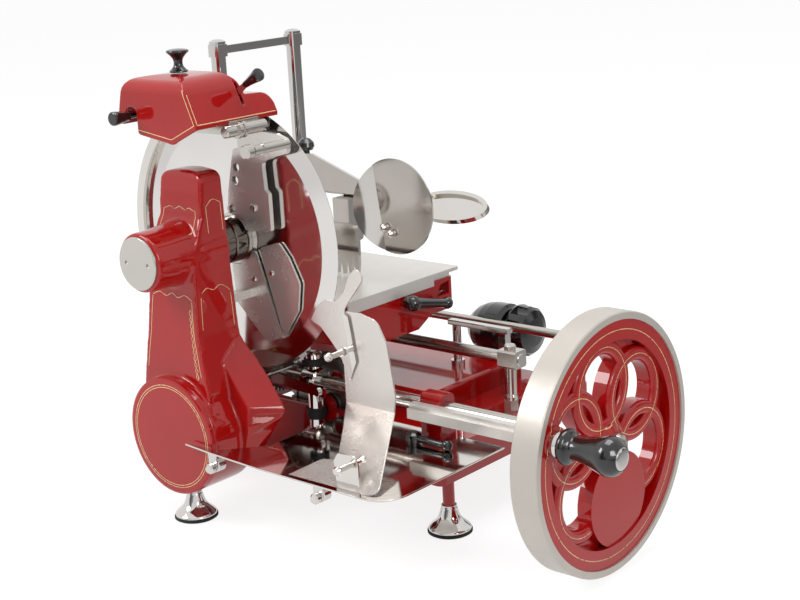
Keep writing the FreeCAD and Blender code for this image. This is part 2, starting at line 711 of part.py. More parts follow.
def crank_bolt():
    """Collar and pin that carry the turning grip."""
    start = GRIP_CENTRE + X * (WHEEL_BACK_X + 6)
    pin = rod(CRANK_PIN_R, start, X, GRIP_X0 - start.x + GRIP_L - 12)
    face = WHEEL_BACK_X + 29
    collar = turned([(0, 11), (1.0, 12), (4, 12), (GRIP_X0 - GAP - face, 9)], GRIP_CENTRE + X * face, X)
    return pin.fuse(collar)


def crank_grip():
    """Black tapered grip with a ball end."""
    outline = [(0, 12.5), (1.5, 16.0), (5, 17.2), (8, 16.4), (11.0, 11.6), (14, 10.6), (26, 12.6),
               (37, 15.6), (46, 18.4), (52, 18.8), (58, 16.4), (GRIP_L, 12.0)]
    smooth = curve_profile(outline[4:], 3)
    grip = turned(outline[:4] + smooth, GRIP_CENTRE + X * GRIP_X0, X)
    grip = grip.cut(rod(CRANK_PIN_R + RUN, GRIP_CENTRE + X * (GRIP_X0 - 1), X, GRIP_L - 10))
    return grip.cut(rod(10.5, GRIP_CENTRE + X * (GRIP_X0 + GRIP_L - 2), X, 5))


def grip_cap():
    """Plain chrome disc in the end of the grip."""
    return turned([(0, 10.5), (2, 10.5), (3.0, 9.0), (3.6, 5.0)],
                  GRIP_CENTRE + X * (GRIP_X0 + GRIP_L - 2), X)


def shaft_rail():
    """Aluminium rail beside the flywheel shaft, stepped along its front."""
    front, back = WHEEL_Y - 24, WHEEL_Y - 11
    low, high = CROSS_Z - 10, CROSS_Z + 6
    step = [(front, low), (front + 7, low), (front + 7, low + 4), (back, low + 4), (back, high),
            (front + 4, high), (front + 4, high - 5), (front, high - 5)]
    return slab_yz(step, SHAFT_BLOCK_X - 8, OUTBOARD_X + 14)


# ---- carriage drive -----------------------------------------------------------------------------
def crank_gear():
    """Large gear on the crank shaft, in mesh with the pinion on the cross shaft."""
    tilt = math.atan2(CRANK_Z - CROSS_Z, CRANK_X)
    turn = tilt + math.pi + math.pi / CRANK_GEAR_TEETH
    gear = spur_gear(CRANK_GEAR_TEETH, V(CRANK_X, CRANK_PLANE_Y, CRANK_Z), 8.0, CROSS_R, turn)
    for index in range(5):
        angle = 2 * math.pi * index / 5
        at = V(CRANK_X + 33 * math.cos(angle), CRANK_PLANE_Y - 1, CRANK_Z + 33 * math.sin(angle))
        gear = gear.cut(rod(11, at, Y, 10))
    return gear


def crank_pinion():
    """Pinion at the far end of the cross shaft."""
    turn = math.atan2(CRANK_Z - CROSS_Z, CRANK_X)
    return spur_gear(CRANK_PINION_TEETH, V(0, CRANK_PLANE_Y, CROSS_Z), 8.0, CROSS_R, turn)


def crank_shaft():
    """Short shaft with the crank arm and its pin."""
    shaft = rod(CROSS_R, V(CRANK_X, FRONT_WALL_Y, CRANK_Z), Y, ARM_Y0 + ARM_T - FRONT_WALL_Y)
    start = V(CRANK_X, ARM_Y0, CRANK_Z)
    eye = V(CRANK_PIN_AT.x, ARM_Y0, CRANK_PIN_AT.z)
    arm = bar_between(start, eye, 14.0, ARM_T, Y)
    arm = arm.fuse([rod(12, start, Y, ARM_T), rod(8, eye, Y, ARM_T)])
    pin = rod(DRIVE_PIN_R, eye, Y, CONROD_Y - 0.5 - ARM_Y0)
    return fuse(shaft, arm, pin)


def connecting_rod():
    """Rod between the crank pin and the drive pin of the carriage."""
    start = V(DRIVE_X, CONROD_Y, DRIVE_PIN_Z)
    end = V(CRANK_PIN_AT.x, CONROD_Y, CRANK_PIN_AT.z)
    body = bar_between(start, end, 9.0, CONROD_T, Y)
    body = body.fuse([rod(8.5, start, Y, CONROD_T), rod(8.5, end, Y, CONROD_T)])
    for eye in (start, end):
        body = body.cut(rod(DRIVE_PIN_R + RUN, eye - Y, Y, CONROD_T + 2))
    return body.removeSplitter()


def drive_pin():
    """Pin in the leg of the carriage that the connecting rod swings on."""
    pin = rod(DRIVE_PIN_R, V(DRIVE_X, CONROD_Y - 1, DRIVE_PIN_Z), Y, CONROD_T + 14)
    return pin.fuse(rod(DRIVE_PIN_R + 2, V(DRIVE_X, CONROD_Y - 2.5, DRIVE_PIN_Z), Y, 2.0))


def shaft_block(x0, width, low):
    """Bearing block for the flywheel shaft."""
    block = box(x0, x0 + width, WHEEL_Y - 11, WHEEL_Y + 13, low, CROSS_Z + 16)
    block = rounded(block, 8.0, X, lambda c: c.z > CROSS_Z)
    return block.cut(rod(FLY_SHAFT_R + RUN, V(x0 - 1, WHEEL_Y, CROSS_Z), X, width + 2))


def post_foot():
    """Red bell-shaped foot of the inner shaft post, on the low floor."""
    dome = turned([(0, 26), (6, 24.5), (13, 18), (17, 12.5), (20, POST_NECK_R + 2)],
                  V(CRANK_X, WHEEL_Y, LOW_FLOOR_Z), Z)
    return dome.common(box(0, 2 * CRANK_X, 0, FRONT_WALL_Y, LOW_FLOOR_Z, CROSS_Z))


def shaft_post():
    """Polished post with an eye that carries the inner end of the flywheel shaft."""
    low = LOW_FLOOR_Z + 20
    neck = rod(POST_NECK_R, V(CRANK_X, WHEEL_Y, low), Z, CROSS_Z - low)
    eye = turned([(0, 13), (1.5, POST_EYE_R), (20.5, POST_EYE_R), (22, 13)],
                 V(CRANK_X - 11, WHEEL_Y, CROSS_Z), X)
    boss = rod(8.0, V(CRANK_X, WHEEL_Y - POST_EYE_R - 4, CROSS_Z), Y, POST_EYE_R)
    post = fuse(neck, eye, boss)
    return post.cut(rod(FLY_SHAFT_R + RUN, V(CRANK_X - 12, WHEEL_Y, CROSS_Z), X, 24))


def post_rings():
    """Two black rings: one round the neck of the post and one round the oil cup."""
    low = tube(POST_NECK_R + 2, POST_NECK_R, V(CRANK_X, WHEEL_Y, CRANK_Z - 8), Z, 12)
    top = tube(POST_NECK_R + 2, POST_NECK_R - 2, V(CRANK_X, WHEEL_Y, CROSS_Z + 18), Z, 8)
    return Part.Compound([low, top])


def oil_cup():
    """Oil cup screwed into the top of the eye."""
    base = CROSS_Z + POST_EYE_R - 2
    profile = [(0, POST_NECK_R - 2), (13, POST_NECK_R - 2), (13, POST_NECK_R + 0.5),
               (18, POST_NECK_R + 0.5), (20, POST_NECK_R - 1), (21, 3)]
    cup = turned(profile, V(CRANK_X, WHEEL_Y, base), Z)
    return cup.cut(rod(POST_EYE_R, V(CRANK_X - 11, WHEEL_Y, CROSS_Z), X, 22))


def link_bar():
    """Flat tapered bar bolted to the front of the post, with a slotted pin at its end."""
    y1 = WHEEL_Y - POST_EYE_R - 4
    x0, x1 = BEVEL_PITCH + 5, STEP_X - 6
    bar = slab_xz([(x0, CROSS_Z - 6), (x1, CROSS_Z - 9), (x1, CROSS_Z + 2), (x0, CROSS_Z + 9)],
                  y1 - 4, y1)
    return bar.fuse(rod(4.5, V(x1 - 9, y1 - 7, CROSS_Z - 3.5), Y, 5))


# ---- rods and their posts -----------------------------------------------------------------------
def slide_rod(radius, y, x1):
    """Polished rod that the carriage runs on."""
    bar = rod(radius, V(ROD_X0, y, ROD_Z), X, x1 - ROD_X0)
    return bar.makeChamfer(1.0, [e for e in bar.Edges if len(e.Vertexes) == 1])


def rod_end_brackets():
    """Two brackets on the left wall of the base that hold the rod ends."""
    pieces = []
    for y, radius in ((FRONT_ROD_Y, ROD_R), (REAR_ROD_Y, REAR_ROD_R)):
        riser = box(ROD_X0, ROD_X0 + 8, y - 11, y + 11, BASE_Z0 + 12, ROD_Z + 10)
        riser = rounded(riser, 9.0, X, lambda c: c.z > ROD_Z)
        foot = box(ROD_X0 + 8, BASE_X0, y - 11, y + 11, BASE_Z0 + 12, DECK_Z - 8)
        piece = riser.fuse(foot).removeSplitter()
        pieces.append(piece.cut(rod(radius, V(ROD_X0 - 1, y, ROD_Z), X, 10)))
    return Part.Compound(pieces)


def rod_post():
    """Turned post with a hexagon foot and a clamp block round the end of the front rod."""
    low = ROD_Z - 9
    foot = Part.Face(Part.makePolygon([V(POST_X + 9 * math.cos(a), FRONT_ROD_Y + 9 * math.sin(a), DECK_Z)
                                       for a in [math.pi / 3 * i for i in range(7)]])).extrude(Z * 14)
    stem = turned([(14, POST_R + 1), (18, POST_R + 1), (21, POST_R), (low - DECK_Z, POST_R)],
                  V(POST_X, FRONT_ROD_Y, DECK_Z), Z)
    block = box(POST_X - 10, FRONT_ROD_X1 - 1, FRONT_ROD_Y - 10.5, FRONT_ROD_Y + 10.5, low, ROD_Z + 10.5)
    block = block.makeChamfer(2.0, edges_along(block, X))
    return fuse(foot, stem, block).cut(rod(ROD_R, V(POST_X - 20, FRONT_ROD_Y, ROD_Z), X, 40))


def rod_screw():
    """Cap screw on top of the clamp block."""
    profile = [(0, POST_R), (4.0, POST_R), (5.5, POST_R - 1.2), (6.0, 2.0)]
    return turned(profile, V(POST_X, FRONT_ROD_Y, ROD_Z + 10.5), Z)


def guide_bar():
    """Flat polished bar that steadies the back of the carriage."""
    bar = box(BAR_X0, BAR_X1, BAR_Y - 5, BAR_Y + 5, CARR_Z0 - 9, CARR_Z0 - 3)
    return bar.makeChamfer(0.8, edges_along(bar, X))


def guide_bar_pillars():
    """Two pillars under the flat bar, one on the raised middle and one on the deck."""
    top = CARR_Z0 - 9
    left = turned([(0, 8), (6, 8), (6, 5), (top - HUMP_Z, 5)], V(BAR_X0 + 9, BAR_Y, HUMP_Z), Z)
    right = box(BAR_X1 - 13, BAR_X1 - 3, BAR_Y - 5, BAR_Y + 5, DECK_Z, top)
    return Part.Compound([left, right])


# ---- carriage and meat table ----------------------------------------------------------------------
def carriage_body():
    """Red carriage: four walls, a floor at the left end, two bushes and the drive leg."""
    body = box(CARR_X0, CARR_X1, CARR_Y0, CARR_Y1, CARR_Z0, CARR_Z1)
    body = rounded(body, 5.0, Z)
    room = box(CARR_X0 + CARR_WALL, CARR_X1 - CARR_WALL, CARR_Y0 + CARR_WALL, CARR_Y1 - CARR_WALL,
               CARR_Z0 - 1, CARR_Z1 + 1)
    body = body.cut(room)
    notch = slab_yz([(225, CARR_Z0 - 1), (250, CARR_Z0 + 12), (CARR_Y1 + 1, CARR_Z0 + 12),
                     (CARR_Y1 + 1, CARR_Z0 - 1)], CARR_X1 - CARR_WALL - 60, CARR_X1 + 1)
    window = slab_yz([(262, 211), (284, 211), (284, 226), (268, 224)], CARR_X1 - CARR_WALL - 1,
                     CARR_X1 + 1)
    body = body.cut(notch).cut(window)
    bush_x1 = BUSH_X0 + BUSH_L
    floor = box(CARR_X0 + 2, bush_x1, CARR_Y0 + 2, CARR_Y1 - 2, CARR_Z0, CARR_Z0 + CARR_WALL)
    front = box(BUSH_X0, bush_x1, FRONT_ROD_Y - 14, FRONT_ROD_Y + 14, ROD_Z - 13, CARR_Z0)
    front = rounded(front, 8.0, X, lambda c: c.z < ROD_Z)
    rear = slab_yz([(CARR_Y1 - 2, CARR_Z0), (CARR_Y1 - 2, CARR_Z0 + 24), (REAR_ROD_Y + 12, ROD_Z + 12),
                    (REAR_ROD_Y + 12, ROD_Z - 11), (REAR_ROD_Y - 12, ROD_Z - 11)], BUSH_X0, bush_x1)
    leg = box(DRIVE_X - 10, DRIVE_X + 10, LEG_Y0, LEG_Y0 + 12, DRIVE_PIN_Z - 9, CARR_Z0)
    body = body.fuse([floor, front, rear, leg])
    body = body.cut(rod(ROD_R + RUN, V(BUSH_X0 - 1, FRONT_ROD_Y, ROD_Z), X, BUSH_L + 2))
    body = body.cut(rod(REAR_ROD_R + RUN, V(BUSH_X0 - 1, REAR_ROD_Y, ROD_Z), X, BUSH_L + 2))
    body = body.cut(rod(DRIVE_PIN_R, V(DRIVE_X, LEG_Y0 - 1, DRIVE_PIN_Z), Y, 14))
    feed = rod(SCREW_R + RUN, V(SCREW_X, CARR_Y0 - 1, SCREW_Z), Y, CARR_Y1 - CARR_Y0 + 2)
    body = body.cut(feed)
    boss = rod(6.0, V(CARR_X1, LEVER_Y, LEVER_Z), X, 5.0)
    return body.fuse(boss).removeSplitter()


def feed_screw():
    """Screw that feeds the meat table towards the blade."""
    screw = rod(SCREW_R, V(SCREW_X, CARR_Y0 + 1, SCREW_Z), Y, CARR_Y1 - CARR_Y0 - 2)
    for index in range(FEED_TURNS_SHOWN):
        y = CARR_Y0 + 24 + index * SCREW_PITCH * 2
        screw = screw.cut(tube(SCREW_R + 1, SCREW_R - 1, V(SCREW_X, y, SCREW_Z), Y, SCREW_PITCH / 2))
    return screw


def feed_ratchet():
    """Ratchet wheel on the feed screw."""
    centre = V(SCREW_X, CARR_Y1 - CARR_WALL - 14, SCREW_Z)
    points = []
    for tooth in range(RATCHET_TEETH):
        angle = 2 * math.pi * tooth / RATCHET_TEETH
        nearly = angle + 2 * math.pi * 0.9 / RATCHET_TEETH
        points.append((centre.x + 15.5 * math.cos(angle), centre.z + 15.5 * math.sin(angle)))
        points.append((centre.x + 17.5 * math.cos(nearly), centre.z + 17.5 * math.sin(nearly)))
    return slab_xz(points, centre.y, centre.y + 6).cut(rod(SCREW_R, centre, Y, 6))


def feed_nut():
    """Nut block under the meat table, on the feed screw."""
    y0 = CARR_Y0 + CARR_WALL + 13
    nut = box(SCREW_X - 12, SCREW_X + 12, y0, y0 + 24, SCREW_Z - 9, TABLE_Z - TABLE_T)
    return nut.cut(rod(SCREW_R + RUN, V(SCREW_X, y0 - 1, SCREW_Z), Y, 26))


def table_plate():
    """Polished meat table with a folded front corner lip on its right side."""
    plate = box(TABLE_X0, TABLE_X1, TABLE_Y0, TABLE_Y1, TABLE_Z - TABLE_T, TABLE_Z)
    plate = rounded(plate, 3.0, Z)
    lip = box(TABLE_X1 - 2, TABLE_X1, TABLE_Y0 + 4, TABLE_Y0 + 148, TABLE_Z - 14, TABLE_Z - TABLE_T)
    return fuse(plate, lip)


def table_slides():
    """Two slide bars under the meat table, on the side walls of the carriage."""
    low = CARR_Z1 + GAP
    bars = []
    for x in (CARR_X0 + 3, CARR_X1 - 11):
        bars.append(box(x, x + 9, TABLE_Y0 + 14, TABLE_Y1 - 12, low, TABLE_Z - TABLE_T))
    return Part.Compound(bars)


def table_lever():
    """Black two-ball lever on the right end of the carriage."""
    pivot = V(CARR_X1 + 5 + GAP, LEVER_Y, LEVER_Z)
    x = pivot.x + LEVER_HUB_R
    hub = rod(7.0, pivot, X, 8.0)
    arm = tapered_bar(V(x, LEVER_Y, LEVER_Z), V(x, LEVER_Y + 59, LEVER_Z - 13), 7.0, 5.0)
    first = ball(LEVER_HUB_R, V(x, LEVER_Y, LEVER_Z))
    last = ball(7.0, V(x, LEVER_Y + 59, LEVER_Z - 13))
    return fuse(hub, arm, first, last)


# ---- clamp --------------------------------------------------------------------------------------
def clamp_posts():
    """Two tall posts that stand on the meat table."""
    posts = []
    for y in (CLAMP_POST_Y0, CLAMP_POST_Y1):
        profile = [(0, CLAMP_POST_R + 6), (9, CLAMP_POST_R + 6), (12, CLAMP_POST_R + 2),
                   (14, CLAMP_POST_R), (CLAMP_POST_TOP - TABLE_Z, CLAMP_POST_R)]
        posts.append(turned(profile, V(CLAMP_POST_X, y, TABLE_Z), Z))
    return Part.Compound(posts)


def clamp_crossbar():
    """Bar across the tops of the two posts."""
    mid = CLAMP_POST_TOP - 7
    bar = bar_between(V(CLAMP_POST_X - 3, CLAMP_POST_Y0, mid), V(CLAMP_POST_X - 3, CLAMP_POST_Y1, mid),
                      9.0, 6.0, X)
    for y in (CLAMP_POST_Y0, CLAMP_POST_Y1):
        bar = bar.fuse(rod(CLAMP_POST_R + 2.5, V(CLAMP_POST_X, y, mid - 7), Z, 14))
    for y in (CLAMP_POST_Y0, CLAMP_POST_Y1):
        bar = bar.cut(rod(CLAMP_POST_R, V(CLAMP_POST_X, y, mid - 8), Z, 18))
    return bar.removeSplitter()


def post_screws():
    """Domed screws on the tops of the posts."""
    screws = []
    for y in (CLAMP_POST_Y0, CLAMP_POST_Y1):
        profile = [(0, CLAMP_POST_R + 1), (3, CLAMP_POST_R + 1), (5.2, CLAMP_POST_R - 3), (5.8, 1.5)]
        screws.append(turned(profile, V(CLAMP_POST_X, y, CLAMP_POST_TOP), Z))
    return Part.Compound(screws)


def clamp_carrier():
    """Block that slides on both posts, with the clamp arm and its rib."""
    block = box(CLAMP_POST_X - CARRIER_W / 2, CLAMP_POST_X + CARRIER_W / 2, CLAMP_POST_Y0 - 15,
                CLAMP_POST_Y1 + 15, CARRIER_Z, CARRIER_Z + CARRIER_H)
    block = rounded(block, 8.0, Z)
    arm = box(CLAMP_POST_X, ARM_X1, CLAMP_Y - ARM_W / 2, CLAMP_Y + ARM_W / 2, CARRIER_Z + 2,
              CARRIER_Z + 2 + ARM_W)
    arm = rounded(arm, 4.0, X)
    body = block.fuse(arm)
    for y in (CLAMP_POST_Y0, CLAMP_POST_Y1):
        body = body.cut(rod(CLAMP_POST_R + RUN, V(CLAMP_POST_X, y, CARRIER_Z - 1), Z, CARRIER_H + 2))
    return body.removeSplitter()


def clamp_gusset():
    """Triangular plate beside the clamp arm."""
    y1 = CLAMP_Y - ARM_W / 2
    low = CARRIER_Z + 6
    outline = [(-24, low), (-24, low + 36), (-16, low + 42), (4, low + 42), (100, low + 8), (100, low)]
    return slab_xz(outline, y1 - 4, y1)


def clamp_knob():
    """Black knob of the clamping screw on top of the rib."""
    top = CARRIER_Z + 6 + 42
    profile = [(0, 4), (4, 4), (4, 8), (8, 10), (13, 9), (17, 5), (18, 2)]
    return turned(profile, V(-6, CLAMP_Y - ARM_W / 2 - 2, top), Z)


def meat_comb():
    """Toothed plate that presses on the meat, hung from the clamp arm."""
    low, high = TABLE_Z + 2, TABLE_Z + 60
    pitch = (COMB_X1 - COMB_X0) / COMB_TEETH
    outline = [(COMB_X0, high), (COMB_X1, high)]
    for tooth in range(COMB_TEETH, 0, -1):
        right = COMB_X0 + pitch * tooth
        outline += [(right - 1, low + 16), (right - 1 - pitch * 0.25, low), (right - pitch * 0.6, low),
                    (right - pitch + 1, low + 16)]
    comb = slab_xz(outline, COMB_Y - COMB_T / 2, COMB_Y + COMB_T / 2)
    hanger = box(44, 68, COMB_Y + COMB_T / 2, CLAMP_Y - ARM_W / 2 + 7, high - 22, CARRIER_Z + 2)
    hanger = rounded(hanger, 4.0, X, lambda c: c.z < high)
    return fuse(comb, hanger)


def hand_guard():
    """Round polished plate folded along a leaning line at the end of the clamp arm."""
    reach = 2 * HAND_GUARD_R
    centre_x = GUARD_FOLD_X + HAND_GUARD_R * 0.44
    disc = rod(HAND_GUARD_R, V(centre_x, GUARD_FOLD_Y, GUARD_MID_Z), Y, GUARD_PLATE_T)
    high, low = GUARD_MID_Z + reach, GUARD_MID_Z - reach
    right = disc.common(box(GUARD_FOLD_X, centre_x + reach, 0, CARR_Y1, low, high))
    left = disc.common(box(GUARD_FOLD_X - reach, GUARD_FOLD_X, 0, CARR_Y1, low, high))
    fold = V(GUARD_FOLD_X, GUARD_FOLD_Y + GUARD_PLATE_T, GUARD_MID_Z)
    left.rotate(fold, Z, GUARD_FOLD_ANGLE)
    guard = right.fuse(left)
    guard.rotate(fold, Y, -GUARD_LEAN)
    lug = box(GUARD_FOLD_X + 1, ARM_X1 - 0.1, GUARD_FOLD_Y + GUARD_PLATE_T, CLAMP_Y - ARM_W / 2,
              CARRIER_Z + 4, CARRIER_Z + ARM_W)
    return guard.fuse(lug).removeSplitter()


def guard_nuts():
    """Two ball nuts on the front of the folded plate."""
    nuts = []
    for x, z in ((GUARD_FOLD_X + 9, GUARD_MID_Z - 21), (GUARD_FOLD_X + 19, GUARD_MID_Z - 27)):
        nut = turned([(0, 2.5), (2.0, 2.5), (3.0, 4.2), (6.0, 4.4), (8.6, 2.6), (9.2, 0.6)],
                     V(x, GUARD_FOLD_Y, z), -Y)
        nuts.append(nut)
    return Part.Compound(nuts)


def tilted(shape):
    """The shape leaned towards the front about the axis of the loop handle."""
    shape.rotate(V(LOOP_X, LOOP_Y, LOOP_Z), X, LOOP_TILT)
    return shape


def loop_handle():
    """Oval plate handle with a raised rim, on the end of the clamp arm."""
    oval = ellipse_slab(LOOP_A, LOOP_B, LOOP_Z - 3, 6.0)
    well = ellipse_slab(LOOP_A - 5, LOOP_B - 5, LOOP_Z - 0.5, 6.0)
    under = ellipse_slab(LOOP_A - 5, LOOP_B - 5, LOOP_Z - 6, 4.0)
    handle = tilted(oval.cut(well).cut(under))
    neck = box(ARM_X1, LOOP_X - LOOP_A + 9, LOOP_Y - 6, LOOP_Y + 4, LOOP_Z - 3, LOOP_Z + 3)
    foot = box(ARM_X1, ARM_X1 + 6, CLAMP_Y - 4, LOOP_Y + 4, LOOP_Z - 2, CARRIER_Z + 12)
    return fuse(handle, neck, foot)


def ellipse_slab(half_x, half_y, z, height):
    """Flat oval with its middle on the axis of the loop handle."""
    curve = Part.Ellipse(V(LOOP_X, LOOP_Y, z), half_x, half_y)
    return Part.Face(Part.Wire(curve.toShape())).extrude(Z * height)


# ---- sharpener ----------------------------------------------------------------------------------
def sharpener_bracket():
    """Plate on the back of the column that carries the sharpener and the upper pin."""
    top = COLUMN_TOP_Z + 52
    outline = [(-32, SPINDLE_Z + 4), (-32, SPINDLE_Z + 66), (-16, COLUMN_TOP_Z - 8), (-16, top), (34, top),
               (40, COLUMN_TOP_Z + 22), (SLOT_PIN_X - 6, SLOT_PIN_Z + 11), (SLOT_PIN_X + 8, SLOT_PIN_Z + 6),
               (SLOT_PIN_X + 8, SLOT_PIN_Z - 8), (48, SPINDLE_Z + 66), (48, SPINDLE_Z + 4)]
    plate = slab_xz(outline, COLUMN_BACK_Y, COLUMN_BACK_Y + BRACKET_T)
    plate = plate.cut(rod(NOSE_R, V(0, COLUMN_BACK_Y - 1, SPINDLE_Z), Y, BRACKET_T + 2))
    for z in (COLUMN_TOP_Z - 2, COLUMN_TOP_Z + 16):
        plate = plate.cut(rod(5.0, V(34, COLUMN_BACK_Y - 1, z), Y, BRACKET_T + 2))
    return plate.cut(rod(SLOT_PIN_R, V(SLOT_PIN_X, COLUMN_BACK_Y - 1, SLOT_PIN_Z), Y, BRACKET_T + 2))


def spindle_nose():
    """Fixed steel sleeve on the back of the column, round the spindle."""
    return tube(NOSE_R, SPINDLE_R + GAP, V(0, COLUMN_BACK_Y, SPINDLE_Z), Y,
                HUB_BACK_Y - PLAY - COLUMN_BACK_Y)


def upper_pin():
    """Round pin with a slotted head, through the ear of the bracket."""
    start = V(SLOT_PIN_X, COLUMN_BACK_Y - 37, SLOT_PIN_Z)
    length = BLADE_BACK_Y - 5.5 - start.y
    pin = turned([(0, 6.5), (1, 7.5), (9, 7.5), (9, SLOT_PIN_R - 1), (12, SLOT_PIN_R - 1),
                  (12, SLOT_PIN_R), (length, SLOT_PIN_R)], start, Y)
    return pin.cut(box(start.x - 8, start.x + 8, start.y - 1, start.y + 2, start.z - 1, start.z + 1))


def sharpener_base():
    """Block on the bracket with the two guide pins of the sharpener."""
    top = COLUMN_TOP_Z + 52
    block = box(-16, 34, COLUMN_BACK_Y - 22, COLUMN_BACK_Y, top - 15, top)
    for x in GUIDE_PIN_X:
        block = block.fuse(rod(GUIDE_PIN_R, V(x, COLUMN_BACK_Y - 10, top), Z, 44))
    return block


def sharpener_block():
    """Sliding block inside the cover, on the guide pins."""
    z0 = COLUMN_TOP_Z + 53
    block = box(-30, 40, 20, COLUMN_BACK_Y, z0, z0 + 25)
    block = rounded(block, 4.0, Z)
    stem = rod(6.0, V(0, KNOB_Y, z0 + 25), Z, COVER_TOP - COVER_WALL - z0 - 25)
    arm = box(PUSH_X - 8, -30, 44, COLUMN_BACK_Y - 4, PUSH_Z - 5, PUSH_Z + 9)
    block = block.fuse([stem, arm])
    for x in GUIDE_PIN_X:
        block = block.cut(rod(GUIDE_PIN_R + RUN, V(x, COLUMN_BACK_Y - 10, z0 - 1), Z, 27))
    block = block.cut(rod(PUSH_R + RUN, V(PUSH_X, 40, PUSH_Z), Y, 30))
    return block.cut(rod(HONE_R + RUN, V(HONE_X, 19, HONE_PIVOT_Z), Y, 50)).removeSplitter()


def cover_slope(inset):
    """Wedge above the sloped back edge of the cover, moved inwards by an inset."""
    y1 = COVER_Y1 - inset
    top = COVER_TOP - inset
    return slab_yz([(y1 - 16, top), (y1 - 16, top + 9), (y1 + 9, top + 9), (y1 + 9, top - 22), (y1, top - 22)],
                   COVER_X0 - 1, COVER_X1 + 1)


def sharpener_cover():
    """Red sheet cover over the stones, open below, with a sloped right side and back."""
    front = [(COVER_X0, COVER_EDGE_Z + 8), (26, COVER_V_Z), (COVER_X1, COVER_EDGE_Z), (34, COVER_TOP - 7),
             (24, COVER_TOP), (-46, COVER_TOP), (-56, COVER_TOP - 6)]
    shell = slab_xz(front, COVER_Y0, COVER_Y1).cut(cover_slope(0.0))
    wall = COVER_WALL
    inner = [(COVER_X0 + wall, COVER_EDGE_Z + 8), (COVER_X0 + wall, COVER_V_Z - 20),
             (COVER_X1 - wall, COVER_V_Z - 20),
             (COVER_X1 - wall - 1, COVER_EDGE_Z), (31, COVER_TOP - 7 - wall), (23, COVER_TOP - wall),
             (-45, COVER_TOP - wall), (-53, COVER_TOP - 7 - wall)]
    shell = shell.cut(slab_xz(inner, COVER_Y0 + wall, COVER_Y1 - wall).cut(cover_slope(wall)))
    lower = slab_xz([(COVER_X0 - 1, COVER_EDGE_Z + 8), (COVER_X0 - 1, COVER_V_Z - 1),
                     (COVER_X1 + 1, COVER_V_Z - 1), (COVER_X1 + 1, COVER_EDGE_Z)],
                    COVER_Y0 + wall, COVER_Y1 + 1)
    shell = shell.cut(lower)
    slit = box(HONE_X, COVER_X1 + 4, HONE_ARM_Y - 5, HONE_ARM_Y + 5, HONE_PIVOT_Z - 8,
               HONE_PIVOT_Z + 24)
    shell = shell.cut(slit)
    shell = shell.cut(rod(PUSH_R + GAP, V(PUSH_X, COVER_Y0 - 1, PUSH_Z), Y, wall + 2))
    return shell.removeSplitter()


def cover_knob():
    """Black waisted knob on top of the cover."""
    outline = curve_profile([(0, 13.5), (4, 10.0), (11, 6.2), (18, 7.5), (23, 12.0)], 3)
    profile = [(0, 12.5)] + outline + [(26, 12.4), (28.5, 9.0), (29.5, 4.0)]
    return turned(profile, V(0, KNOB_Y, COVER_TOP), Z)


def push_rod():
    """Rod with the grinding stone, pushed by a black knob."""
    start = COVER_Y0 - 8
    return rod(PUSH_R, V(PUSH_X, start, PUSH_Z), Y, BLADE_BACK_Y - PUSH_TRAVEL - 5.5 - start)


def push_knob():
    """Black knob on the push rod."""
    start = V(PUSH_X, COVER_Y0 - 29, PUSH_Z)
    outline = [(0, 4), (1.5, 7.0), (6, 8.5), (12, 8.2), (16, 6.4), (21, 6.0)]
    knob = turned(outline, start, Y)
    return knob.cut(rod(PUSH_R, V(PUSH_X, COVER_Y0 - 8, PUSH_Z), Y, 1))


def grinding_stone():
    """Grinding stone that is pushed against the ground band of the blade."""
    y1 = BLADE_BACK_Y - PUSH_TRAVEL - 0.5
    return rod(14.0, V(PUSH_X, y1 - 5, PUSH_Z), Y, 5)


def hone_lever():
    """Pivot rod with the outer arm, from the block past the blade to the honing stone."""
    y0 = HONE_ARM_Y - 27
    pivot = rod(HONE_R, V(HONE_X, y0, HONE_PIVOT_Z), Y, BLADE_Y + 9 - y0)
    tip = V(HONE_X + HONE_ARM_X, HONE_ARM_Y, HONE_PIVOT_Z + HONE_ARM_RISE)
    arm = tapered_bar(V(HONE_X, HONE_ARM_Y, HONE_PIVOT_Z), tip, 3.5, 3.0)
    foot = bar_between(V(HONE_X, BLADE_Y + 5, HONE_PIVOT_Z), V(HONE_X + 6, BLADE_Y + 5, HONE_STONE_Z),
                       8.0, 4.0, Y)
    return fuse(pivot, arm, foot)


def hone_stone():
    """Honing stone on the table side of the blade."""
    at = V(HONE_X + 6, BLADE_Y + 1.5, HONE_STONE_Z)
    return rod(9.0, at, Y, 3.5)


def hone_knob():
    """Black conical knob on the outer arm."""
    along = V(HONE_KNOB_WAY[0], 0, HONE_KNOB_WAY[1]).normalize()
    start = V(HONE_X + HONE_ARM_X, HONE_ARM_Y, HONE_PIVOT_Z + HONE_ARM_RISE)
    return turned([(0, 4.0), (18, 7.6), (21, 7.4), (23, 5.0)], start + along * PLAY, along)


# ---- tray and deflector -------------------------------------------------------------------------
def slice_tray():
    """Mirror-polished tray in front of the base, with a point that passes the gear case."""
    corner = TRAY_X1 - 28
    outline = [(30, -33), (75, TRAY_FRONT_Y + 8), (150, TRAY_FRONT_Y + 3), (corner, TRAY_FRONT_Y)]
    for i in range(1, 9):
        angle = -math.pi / 2 + math.pi / 2 * i / 8
        outline.append((corner + 28 * math.cos(angle), TRAY_FRONT_Y + 28 + 28 * math.sin(angle)))
    outline += [(TRAY_X1, TRAY_Y1), (STEP_X + 1, TRAY_Y1), (STEP_X + 1, 12), (75, -28)]
    tray = slab_xy(outline, DECK_Z, DECK_Z + TRAY_T)
    notch = box(SHAFT_BLOCK_X - 5, SHAFT_BLOCK_X + 32, WHEEL_Y - 15, TRAY_Y1 + 1, DECK_Z - 1,
                DECK_Z + TRAY_T + 1)
    return tray.cut(notch)


